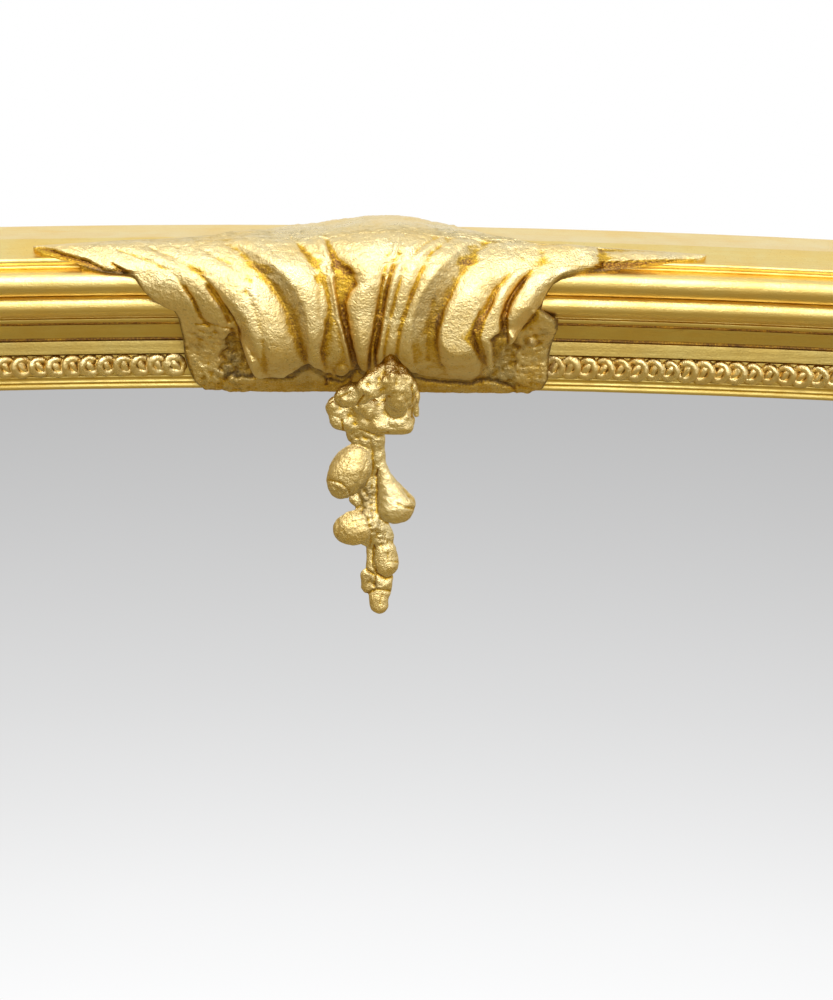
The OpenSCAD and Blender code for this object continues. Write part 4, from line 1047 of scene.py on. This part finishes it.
def build_clasp():
    wrap, length = rounded_way(WRAP)
    belly, _ = rounded_way(BELLY)
    shares = np.linspace(0, 1, len(wrap))
    rows, cols, back_cols = CLASP_ROWS, CLASP_COLS, BACK_COLS
    v = np.linspace(0, 1, rows)[:, None]
    w = np.linspace(0, 1, cols)[None, :]
    left = np.interp(v, *zip(*LEFT_EDGE))
    right = np.interp(v, *zip(*RIGHT_EDGE))
    s = left * (1 - w) + right * w
    d = v * length + 0 * w
    flat_way = [np.interp(v, shares, column) for column in wrap.T]
    full_way = [np.interp(v, shares, column) for column in belly.T]

    def at_height(h, full, proud=0.0):
        ins, outs, normal_in, normal_out = (a * (1 - full) + b * full for a, b in zip(flat_way, full_way))
        return over_rail(s, ins + normal_in * h, outs + normal_out * h + proud)

    side = np.minimum(away_from(s, d, [(x, share * length) for share, x in LEFT_EDGE]),
                      away_from(s, d, [(x, share * length) for share, x in RIGHT_EDGE]))
    thin_tail = ease(v, 0.19, 0.23) * (1 - ease(v, 0.30, 0.34)) * ease(np.abs(s + 10), 70, 120)
    rim = np.sqrt(ease(side, -0.6, 2.2 + 12 * thin_tail))
    dome = np.exp(-((s - 4) / np.where(s < 4, 42, 36)) ** 2)
    crest = dome * (7.2 * ease(v, 0, 0.05) + 1.4 * ease(v, 0.1, 0.24)) * (1 - ease(v, 0.3, 0.58))
    body = 1.3 + 1.4 * ease(side, 0, 30) * (1 - ease(v, 0.8, 1.0)) + crest
    height, full = body + 4, ease(w, 0.2, 0.3) * (1 - ease(w, 0.7, 0.8)) + 0 * v
    proud = np.zeros_like(height)
    for _ in range(CLASP_ROUNDS):
        px, py = in_photo(at_height(RIM_HEIGHT + (height - RIM_HEIGHT) * rim, full, proud).reshape(-1, 3))
        px, py = px.reshape(rows, cols), py.reshape(rows, cols)
        relief, recess, groove = clasp_height(px, py, w + 0 * v)
        gash = gash_share(px, py)
        height = blur(blur(body + relief, 0.8, 0), 0.9, 1) * (1 - gash) + GASH_HEIGHT * gash
        full = ease(px - line_x(LOBES_LEFT, py), -3, 12) * ease(line_x(LOBES_RIGHT, py) - px, -3, 12)
        full *= 1 - 0.9 * ease(0.85 * (py - HANG_Y) + HANG_W - np.abs(px - HANG_X), -6, 8)
        full = blur_both(full, 1.2)
        proud = level(PROUD, py) * ease(px - line_x(RIGHT_WEDGE, py), -6, 14)
        proud = blur_both(proud * ease(line_x(TAB_TOP, py) - px, 0, 40), 1.2)
    here = at_height(height, full, proud).reshape(-1, 3)

    def rough(size, seed):
        return lattice_noise(here, size, seed).reshape(rows, cols)

    streak = lattice_noise(here * [1, 1, 0.25], 2.6, 25).reshape(rows, cols)
    upper = (1 - ease(py, 246, 270)) * (1 - 0.8 * ease(px, 585, 615))
    veins = np.exp(-(rough(16, 40) / 0.07) ** 2) + 0.7 * np.exp(-(rough(9, 41) / 0.09) ** 2)
    height += 0.3 * rough(10, 21) + 0.2 * rough(4.5, 22) + 0.14 * rough(2.2, 26) + 0.2 * streak
    height += upper * (0.3 * rough(7, 27) + 0.2 * rough(3.5, 28) - 0.3 * veins)
    left_tab = 1 - ease(px - line_x(LEAF_EDGE, py), -14, -2)
    right_tab = ease(px - line_x(TAB_TOP, py), 0, 6)
    plain_tabs = np.maximum(left_tab, right_tab) * ease(py, 318, 330)
    height += plain_tabs * (0.7 * rough(5, 42) + 0.35 * rough(2.4, 43))
    height += (recess + 0.7 * groove) * (0.9 * rough(5.0, 23) + 0.4 * rough(2.4, 24))
    height = height * (1 - gash) + (GASH_HEIGHT + 0.25 * rough(3, 29)) * gash
    bud = 1 - ((px - BUD[0]) / BUD[2]) ** 2 - ((py - BUD[1]) / BUD[3]) ** 2
    height += 3.0 * np.sqrt(np.clip(bud, 0, 1)) * gash
    height = RIM_HEIGHT + (height - RIM_HEIGHT) * rim
    front = at_height(height, full, proud)
    below_top = (cad_bounds[1].z / MM - 0.05 - front[..., 2]) / TOP_SOFT
    front[..., 2] += TOP_SOFT * (below_top - np.logaddexp(0, below_top))
    behind_front = (front[..., 1] - cad_bounds[0].y / MM - 0.05) / FRONT_SOFT
    front[..., 1] -= FRONT_SOFT * (behind_front - np.logaddexp(0, behind_front))

    under = mouldings_under(np.c_[flat_way[0][:, 0], flat_way[1][:, 0]])
    back_w = np.linspace(0, 1, back_cols)[None, :]
    back_s = left * (1 - back_w) + right * back_w
    back = over_rail(back_s, under[:, :1] + BACK_SUNK, under[:, 1:] - BACK_SUNK)
    points = np.vstack([front.reshape(-1, 3), back.reshape(-1, 3)])
    faces = clasp_faces(rows, cols, back_cols)
    piece = make_piece("gilt_leaf_clasp", points, faces, clasp_gold, 75)
    # Hollows of the relief darken as painted shade, less so at the top
    dip = (blur_both(height, 3.0) - height) / 1.6 * (0.25 + 0.75 * ease(py, 224, 250))
    left_wedge, right_wedge = line_x(LEFT_WEDGE, py), line_x(RIGHT_WEDGE, py)
    left_rim, right_rim = line_x(LEFT_RIM, py), line_x(RIGHT_RIM, py)
    # The undercut wedges below the two rims take painted shade
    wedges = np.maximum(
        ease(px - left_wedge, -1, 2) * ease(left_rim - px, -0.6, 0.8) * ease(py, 243, 250),
        ease(px - right_rim, -0.6, 0.8) * ease(right_wedge - px, -1, 4) * ease(py, 240, 252))
    wedges *= 1 - ease(py, 310, 360)
    # Painted shadow along the clasp's edges where they meet the mouldings, and along the hollows under the
    # tails
    edge = (1 - ease(side, 0.3, 2.4)) * ease(v, 0.36, 0.43)
    cuts = [1 - ease(away_from(px, py, line), 0.0, 1.1) for line in (LEFT_GASH, RIGHT_GASH)]
    cut = 0.32 * np.maximum(*cuts)
    flecks = ease(rough(1.7, 44), 0.42, 0.75) * (0.35 + 0.65 * ease(py, 266, 320)) * (1 - gash)
    # Painted shade on the side of the left lobe turned from the light, and on the lower lobes
    beside = 0.14 * ease(px - left_wedge, -24, -3) * (px < left_wedge) * ease(py, 276, 296)
    low_dark = 0.08 * ease(py, 352, 378) * ease(px, GROOVE_FROM, 240) * ease(484 - px, 0, 20)
    # Grime in the recesses; darker in the groove under the lobes; the painted shade above; worn flecks and
    # rough tabs
    grime_and_shade = 0.36 * wedges + recess * (0.38 + 0.2 * rough(5, 35)) + 0.6 * groove
    grime_and_shade += 0.7 * np.maximum(edge, cut) + beside + low_dark * (0.7 + 0.5 * rough(7, 36))
    grime_and_shade += 0.45 * flecks + 0.3 * plain_tabs * ease(rough(6, 45), -0.1, 0.6)
    # Bole and painted shade in the hollows under the tails and along the edges; darker in the groove and at
    # the clasp's foot
    darkening = 0.2 * groove + 0.46 * gash * (1 - ease(bud, 0, 0.4)) + 0.25 * edge
    darkening += 0.16 * ease(py, 378, 385) + 0.4 * cut
    # Painted shade in broad hollows, towards the bottom and above the pendant's knot, and painted warm
    # reflection in the pocket
    broad = (blur_both(height, 9.0) - height) / 4.0 * ease(py, 240, 280)
    low_warm = 0.14 * ease(py, 300, 360) * (1 + 0.8 * rough(8, 46))
    pocket = np.exp(-((px - 347) / 6) ** 2 - ((py - 276) / 12) ** 2)
    foot = 0.3 * ease(py, 350, 372) * np.exp(-((px - 372) / 50) ** 2)
    hollow = 0.8 * np.clip(dip, 0, 1) + np.clip(broad, 0, 0.3) + low_warm + darkening + 0.3 * pocket + foot
    # The back is bole, half as dark at the top; the walls between it and the front's edges take it as
    # painted shade
    back_hollow = 0.42 + 0.58 * ease(v, 0.38, 0.44) + 0 * back_w
    set_shade(piece, "hollow", np.r_[hollow.reshape(-1), back_hollow.reshape(-1)])
    set_shade(piece, "grime_and_shade", np.r_[grime_and_shade.reshape(-1), np.zeros(rows * back_cols)])
    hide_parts("leaf_clasp")


build_clasp()


# ---- the pendant ----

# How far the glass's front is from the wall, and the grid's cells for the pendant
GLASS_OUT, CELL = 24.6, 0.6
# Millimetres in a pixel of the photograph near the pendant, and the pendant's depth over its width
PX, FLATTEN = 0.672, 0.8

# Rounded bars: [x, y in the photograph, out from the wall, radius in pixels] at each end, and the
# blend with what is there before
BARS = [
    # the knot
    ((347, 408, 36, 15), (392, 404, 37, 21), 3),
    ((389.5, 361, 57, 7), (392, 380, 62, 12), 4),
    ((381, 371, 58, 8), (366, 387, 62, 10), 3),
    ((399, 372, 58, 8.5), (408, 387, 58, 10), 3),
    ((396, 388, 60, 12), (400, 398, 55, 14), 3),
    ((374, 388, 60, 11), (346, 397, 55, 12), 3),
    ((336, 405, 40, 10), (339, 419, 39, 10.5), 3),
    ((362, 404, 46, 10), (370, 409, 46, 9), 3),
    ((395, 406, 48.5, 10), (396, 407, 48.5, 10), 1.6),
    ((402, 385, 42, 12), (404, 400, 42, 12), 5),
    ((380, 424, 43, 11), (402, 422, 43, 13.2), 3.5),
    ((352, 421, 38, 12), (380, 424, 39, 10), 4),
    ((415.5, 391, 40, 3), (416.8, 414, 38, 2.8), 1.5),
    ((419, 387, 35, 2), (412, 394, 38, 5), 3),
    # the neck and stems
    ((356, 434, 36, 10), (374, 438, 36, 11), 3),
    ((374, 442, 35, 10.5), (376, 456, 34, 9.5), 3),
    ((377, 456, 35, 8.5), (379, 468, 34, 7.5), 2),
    ((381, 466, 36, 6), (386, 478, 37, 7), 2),
    ((370, 452, 31, 9), (371, 490, 30, 11), 3),
    ((368, 486, 30, 11), (371, 512, 31, 12.5), 3),
    ((355, 499, 31, 6), (366, 508, 32, 8), 2),
    ((371, 514, 33, 13), (378, 532, 33, 14), 3),
    ((368, 534, 32, 13), (382, 538, 33, 12), 3),
    ((371, 546, 32, 5), (372, 566, 32, 6), 2),
    ((367, 575, 34, 6.5), (367, 585, 33, 6), 1.5),
    ((374, 571, 34, 6), (381, 584, 34, 10), 2),
    ((385, 577, 33, 8), (383, 592, 33, 8), 2),
    ((373, 588, 33, 7), (378, 596, 33, 9), 2),
    ((363.8, 587, 32, 3), (366.5, 590, 32, 3.4), 1),
    # fruit with a wide end
    ((387.5, 484, 36, 10.5), (395.5, 504.5, 36, 20), 2),
    ((384.5, 551, 35, 12), (385.5, 563, 35, 13.8), 1.5),
    ((378.5, 599, 34, 10), (379, 604.5, 34, 9.8), 1.5),
]
# Fruit as eggs: x, y, out, half length and half width in pixels, the way its length points, and
# the blend
EGGS = [
    (349.5, 471, 37, 31, 20.5, (-0.454, 0.891), 2.0),
    (357, 527, 36, 24.5, 18, (-0.95, 0.25), 2.0),
]
# Carved lines on the pendant: pixels, reach in pixels, depth
CARVED = [
    ([(377, 411), (379, 404), (385, 398), (394, 394.5), (402, 396), (407.5, 401), (409, 408)], 5.0, 0.8),
    ([(347, 408), (350, 416), (354, 422)], 9.0, 1.6),
    ([(338, 403), (341, 409)], 6.0, 1.6),
    ([(331, 402), (340, 396.5), (351, 391.5)], 1.8, 0.9),
    ([(363, 397), (357, 406)], 2.4, 1.2),
    ([(412.5, 386), (413.5, 400), (412.5, 416)], 2.2, 1.2),
    ([(384, 373), (389, 382), (383, 391)], 6.0, 1.0),
    ([(399, 370), (397, 384)], 5.0, 1.0),
    ([(368, 384), (374, 392)], 5.0, 0.9),
    ([(342, 421), (343, 431)], 2.4, 1.0),
    ([(360, 430), (374, 434), (388, 433)], 2.6, 1.0),
    ([(350, 441), (358, 437), (370, 440), (373, 452)], 3.0, 0.8),
    ([(373, 452), (373, 470), (372, 488)], 3.0, 0.7),
    ([(367, 462), (361, 478), (352, 496)], 3.0, 0.6),
    ([(329, 480), (340, 483), (349, 490), (350, 498)], 2.4, 0.8),
    ([(350, 458), (342, 476)], 1.6, 0.4),
    ([(377, 470), (376, 476)], 2.5, 1.8),
    ([(398, 480), (406, 492), (414, 502)], 2.6, 0.7),
    ([(398, 504), (406, 508), (416, 509)], 2.4, 0.8),
    ([(377, 480), (377, 512)], 3.0, 0.6),
    ([(341, 531), (352, 522), (362, 520), (364, 526)], 2.0, 0.5),
    ([(338, 520), (337, 538)], 2.6, 0.7),
    ([(368, 520), (372, 532), (370, 546)], 3.0, 0.8),
    ([(374, 546), (373, 560), (376, 574), (386, 579), (396, 576)], 2.6, 1.5),
    ([(388, 552), (388, 562), (399, 562)], 1.8, 0.6),
    ([(367, 570), (375, 576), (374, 586)], 2.6, 1.4),
    ([(366, 594), (376, 590), (390, 591)], 2.6, 1.2),
    ([(382, 596), (380, 604)], 2.2, 0.6),
]
# Where the surface is a rough cluster: pixels, reach, how dark
CLUSTERS = [
    ([(367, 490), (367, 510)], 12, 0.5),
    ([(372, 520), (382, 540)], 11, 0.2),
    ([(370, 577), (374, 588)], 10, 0.25),
    ([(338, 488), (348, 495)], 9, 0.15),
    ([(354, 438), (376, 440)], 9, 0.15),
    ([(346, 506), (360, 512)], 8, 0.2),
]


def bar_distance(x, y, z, a, b, r0, r1):
    """Distance to a round bar whose radius goes from r0 to r1."""
    along = [b[k] - a[k] for k in range(3)]
    span = sum(c * c for c in along) + 1e-9
    away = (x - a[0], y - a[1], z - a[2])
    t = np.clip(sum(p * c for p, c in zip(away, along)) / span, 0, 1)
    return np.sqrt(sum((p - t * c) ** 2 for p, c in zip(away, along))) - (r0 + t * (r1 - r0))


def egg_distance(x, y, z, centre, long, wide, way):
    dx, dy, dz = x - centre[0], y - centre[1], z - centre[2]
    u = (dx * way[0] - dz * way[1]) / long
    n = (dx * way[1] + dz * way[0]) / wide
    q = np.sqrt(u * u + n * n + (dy / wide) ** 2)
    slope = np.sqrt((u / long) ** 2 + (n / wide) ** 2 + (dy / wide ** 2) ** 2) + 1e-9
    return q * (q - 1) / slope


def melted(field, other, blend):
    """The union of two distance fields, with a fillet."""
    share = np.clip(0.5 + 0.5 * (field - other) / blend, 0, 1)
    return field * (1 - share) + other * share - blend * share * (1 - share)


def pendant_field():
    """Distances to the pendant's skin on a grid, with depth stretched back to round."""
    low = np.array([-62.0, -70.0 / FLATTEN, 1268.0])
    high = np.array([40.0, -12.0 / FLATTEN, 1474.0])
    counts = np.ceil((high - low) / CELL).astype(int)
    axes = [low[k] + CELL * np.arange(counts[k]) for k in range(3)]
    field = np.full(counts, 6.0, np.float32)

    def add(low_corner, high_corner, blend, distance):
        cut = []
        for k in range(3):
            first = int(np.clip((low_corner[k] - 5 - low[k]) / CELL, 0, counts[k] - 1))
            last = int(np.clip((high_corner[k] + 5 - low[k]) / CELL, 1, counts[k]))
            cut.append(slice(first, last))
        x = axes[0][cut[0]][:, None, None]
        y = axes[1][cut[1]][None, :, None]
        z = axes[2][cut[2]][None, None, :]
        field[tuple(cut)] = melted(field[tuple(cut)], distance(x, y, z), blend)

    def rounded(x, y, out):
        return seen_at(x, y, out) * [1, 1 / FLATTEN, 1]

    for (x0, y0, o0, r0), (x1, y1, o1, r1), blend in BARS:
        a, b, wide = rounded(x0, y0, o0), rounded(x1, y1, o1), max(r0, r1) * PX
        add(np.minimum(a, b) - wide, np.maximum(a, b) + wide, blend,
            lambda x, y, z: bar_distance(x, y, z, a, b, r0 * PX, r1 * PX))
    for x0, y0, out, long, wide, way, blend in EGGS:
        centre = rounded(x0, y0, out)
        add(centre - long * PX, centre + long * PX, blend,
            lambda x, y, z: egg_distance(x, y, z, centre, long * PX, wide * PX, way))
    return field, low


def skin_of(field, low, step):
    """Points and quads where a field of distances changes sign."""
    inside = field < 0
    count = np.zeros(np.array(field.shape) - 1, int)
    for i, j, k in np.ndindex(2, 2, 2):
        count += inside[i:i + count.shape[0], j:j + count.shape[1], k:k + count.shape[2]]
    active = (count > 0) & (count < 8)
    cells = np.argwhere(active)
    index = np.full(active.shape, -1)
    index[active] = np.arange(len(cells))
    total, hits = np.zeros((len(cells), 3)), np.zeros(len(cells))
    quads = []
    for axis in range(3):
        one, two = [k for k in range(3) if k != axis]
        step_on = np.eye(3, dtype=int)[axis]
        for p, q in np.ndindex(2, 2):
            start = cells.copy()
            start[:, one] += p
            start[:, two] += q
            first = field[tuple(start.T)]
            second = field[tuple((start + step_on).T)]
            cross = (first < 0) != (second < 0)
            at = start[cross].astype(float)
            at[:, axis] += first[cross] / (first[cross] - second[cross])
            total[cross] += at
            hits[cross] += 1
        ahead = [slice(None)] * 3
        behind = [slice(None)] * 3
        ahead[axis], behind[axis] = slice(1, None), slice(None, -1)
        edges = np.argwhere(inside[tuple(ahead)] != inside[tuple(behind)])
        edges = edges[(edges[:, one] > 0) & (edges[:, two] > 0)]
        back_one, back_two = np.eye(3, dtype=int)[one], np.eye(3, dtype=int)[two]
        corners = [edges, edges - back_one, edges - back_one - back_two, edges - back_two]
        quads.append(np.stack([index[tuple(corner.T)] for corner in corners], 1))
    return low + step * total / hits[:, None], np.vstack(quads)


def point_normals(points, quads, outward_field):
    a, b, c, d = (points[quads[:, k]] for k in range(4))
    across = np.cross(c - a, d - b)
    across *= np.sign((across * outward_field).sum(1))[:, None]
    normals = np.zeros_like(points)
    for corner in range(4):
        for k in range(3):
            normals[:, k] += np.bincount(quads[:, corner], across[:, k], len(points))
    return normals / (np.linalg.norm(normals, axis=1)[:, None] + 1e-9)


def neighbour_mean(values, quads, steps):
    """Moves values towards the mean of their neighbours, several times."""
    ends = np.vstack([quads[:, [k, (k + 1) % 4]] for k in range(4)])
    count = np.bincount(ends[:, 0], minlength=len(values)) + np.bincount(ends[:, 1], minlength=len(values))
    result = values.astype(float)
    for _ in range(steps):
        mean = np.zeros_like(result)
        for k in range(result.shape[1]):
            mean[:, k] = (np.bincount(ends[:, 0], result[ends[:, 1], k], len(values))
                          + np.bincount(ends[:, 1], result[ends[:, 0], k], len(values))) / count
        result = 0.5 * result + 0.5 * mean
    return result


def field_slope(field, low, points):
    """The outward direction of a field of distances at points."""
    at = np.clip(np.round((points - low) / CELL).astype(int), 1, np.array(field.shape) - 2)
    slope = [field[tuple((at + step).T)] - field[tuple((at - step).T)] for step in np.eye(3, dtype=int)]
    return np.stack(slope, 1)


def build_pendant():
    field, low = pendant_field()
    points, quads = skin_of(field, low, CELL)
    outward = field_slope(field, low, points[quads].mean(1))
    points, outward = points * [1, FLATTEN, 1], outward * [1, 1 / FLATTEN, 1]
    points = neighbour_mean(points, quads, 2)
    normals = point_normals(points, quads, outward)

    def rough(size, seed):
        return lattice_noise(points, size, seed)

    px, py = in_photo(points)
    facing = np.clip(-normals[:, 1] * 1.5, 0, 1)
    depth = np.zeros(len(points))
    for line, reach, deep in CARVED:
        depth = np.maximum(depth, deep * (1 - ease(away_from(px, py, line), 0, reach)))
    dent = -depth * facing + 0.55 * rough(8, 31) + 0.24 * rough(3.4, 32)
    knot = 1 - ease(py, 420, 436)
    dent += knot * (1.3 * rough(7, 38) + 0.35 * rough(3.4, 39))
    dark = np.zeros(len(points))
    for line, reach, tone in CLUSTERS:
        near = 1 - ease(away_from(px, py, line), 0.3 * reach, reach)
        dent += near * (0.8 * rough(3.4, 33) + 0.35 * rough(1.8, 34))
        dark = np.maximum(dark, near * tone)
    points = neighbour_mean(points + normals * dent[:, None], quads, 1)
    points[:, 1] = np.minimum(points[:, 1], -GLASS_OUT)
    piece = make_piece("gilt_fruit_pendant", points, quads.tolist(), pendant_gold, 85)
    # Bole and painted shade in the hollows and carved lines, darker clusters, and painted shade on the
    # sides turned away from the front
    dip = ((neighbour_mean(points, quads, 16) - points) * normals).sum(1)
    turned = 1 - ease(-normals[:, 1], 0.2, 0.85)
    hollow = np.clip(1.3 * dip, 0, 1) + 0.16 * np.clip(depth / 2.0, 0, 1) + 0.3 * dark + 0.24 * turned
    set_shade(piece, "hollow", hollow)
    flecks = ease(rough(1.7, 44), 0.42, 0.75)
    # Painted shade on the sides turned away from the front
    turned_shade = 0.18 * turned * (0.8 + 0.6 * rough(5, 37))
    set_shade(piece, "grime_and_shade", dark + 0.3 * flecks + turned_shade)
    piece.visible_glossy = False
    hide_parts("fruit_pendant")


build_pendant()


# ---- pieces whose shape stays as it is ----

def dress(nodes, material):
    for node in nodes:
        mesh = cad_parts[node].data
        mesh.materials.clear()
        mesh.materials.append(material)


dress(["core_bottom", "core_left_shoulder", "core_right_shoulder", "core_top_left", "core_top_right"], pine)
dress(["glass_blocks"], bare_pine)
dress(["core_left", "core_right"], pine_upright)
dress([f"backboard_{k}" for k in range(1, 7)] + ["tenon_pegs", "butterfly_keys"], board_pine)
dress(["left_wall_plate", "right_wall_plate", "wall_plate_screws", "left_hanger_strap",
       "right_hanger_strap", "left_ring", "right_ring"], brass)
dress(["backboard_screws", "moulding_screws", "hanger_screws"], steel)
dress(["mirror_glass"], mirror_silver)


# ---- floor, light and camera ----

FLOOR_HALF = 6.0


def build_floor():
    """A pale floor that reflections don't show, because the photograph's mirror shows a plain room."""
    mesh = bpy.data.meshes.new("floor")
    corners = [(x * FLOOR_HALF, y * FLOOR_HALF, 0) for x, y in ((-1, -1), (1, -1), (1, 1), (-1, 1))]
    mesh.from_pydata(corners, [], [(0, 1, 2, 3)])
    material, graph, shader = new_material("pale_floor")
    tone = graph.mix(graph.noise(graph.place(), 2, 3), (0.80, 0.80, 0.80), (0.84, 0.84, 0.84))
    graph.put(tone, shader.inputs["Base Color"])
    shader.inputs["Roughness"].default_value = 0.8
    mesh.materials.append(material)
    floor = add_object("floor", mesh)
    floor.visible_glossy = False


def sky_ramp(graph, height, stops):
    """A ramp of colours over the height of a direction, from -1 to 1."""
    ramp = graph.node("ValToRGB", {"Fac": graph.remap(height, -1, 1)})
    while len(ramp.color_ramp.elements) < len(stops):
        ramp.color_ramp.elements.new(0.5)
    for element, (z, colour) in zip(ramp.color_ramp.elements, stops):
        element.position = (z + 1) / 2
        element.color = (*colour, 1)
    return ramp.outputs["Color"]


# What the mirror shows: grey at the level of the eye, white towards the floor
MIRROR_ROOM = [
    (-1, 1.0), (-0.485, 1.0), (-0.449, 0.932), (-0.4119, 0.832), (-0.3738, 0.739), (-0.3349, 0.661),
    (-0.2954, 0.586), (-0.2554, 0.519), (-0.15, 0.437), (0.0, 0.408), (0.3, 0.58), (1, 0.78),
]
# What lights the gold: a bright ceiling, plain walls, and a dim warm floor
STUDIO = [(-1, (0.31, 0.24, 0.10)), (-0.6, (0.36, 0.28, 0.12)), (-0.34, (0.50, 0.41, 0.21)),
          (-0.12, (0.84, 0.78, 0.62)), (0.1, (0.92, 0.90, 0.85)), (0.5, (0.89, 0.89, 0.89)),
          (1, (0.80, 0.80, 0.80))]
# How much lower the studio's light comes from both sides, and how much more so from the left
SIDE_DARK, SIDE_LEAN = 0.36, 0.3
WHITE = (1.0, 1.0, 1.0)


def build_world():
    world = bpy.data.worlds.new("studio")
    bpy.context.scene.world = world
    graph = Graph(world)
    graph.nodes.clear()
    x, _, z = graph.node("SeparateXYZ", {0: graph.node("TexCoord").outputs["Generated"]}).outputs
    room = sky_ramp(graph, z, [(level, (grey, grey, grey)) for level, grey in MIRROR_ROOM])
    aside = graph.plus(graph.times(graph.maths("ABSOLUTE", x, 0.0), SIDE_DARK), x, -SIDE_LEAN)
    studio = sky_ramp(graph, graph.maths("SUBTRACT", z, aside), STUDIO)
    path = graph.node("LightPath").outputs
    mirrored_once = graph.times(path["Is Singular Ray"], graph.maths("LESS_THAN", path["Ray Depth"], 2.5))
    colour = graph.mix(mirrored_once, studio, room)
    colour = graph.mix(path["Is Camera Ray"], colour, WHITE)
    colour = graph.mix(path["Is Transmission Ray"], colour, WHITE)
    background = graph.node("Background", {"Color": colour, "Strength": 1.0})
    graph.node("OutputWorld", {0: background.outputs[0]})


def soft_lamp(name, at, aim, size, watts):
    light = bpy.data.lights.new(name, "AREA")
    light.shape = "RECTANGLE"
    light.size, light.size_y = size
    light.energy = watts
    lamp = add_object(name, light)
    lamp.location = at
    lamp.rotation_euler = (Vector(aim) - Vector(at)).to_track_quat("-Z", "Y").to_euler()
    lamp.visible_camera = False


def build_camera():
    data = bpy.data.cameras.new("camera")
    data.sensor_width = SENSOR
    data.sensor_fit = "AUTO"
    data.lens = SENSOR * FOCAL_PX / PHOTO_H
    camera = add_object("camera", data)
    turn = Matrix((RIGHT, UP, -FORWARD)).transposed().to_4x4()
    camera.matrix_world = Matrix.Translation(Vector(CAMERA_AT * MM)) @ turn
    bpy.context.scene.camera = camera


LAMPS_AIM = (0, 0, 1.4)

build_floor()
build_world()
soft_lamp("key", (-0.15, -1.6, 3.4), LAMPS_AIM, (2.2, 1.6), 42)
soft_lamp("fill", (0.4, -2.6, 2.4), LAMPS_AIM, (1.2, 1.2), 9)
build_camera()
bpy.context.scene.view_settings.view_transform = "Standard"
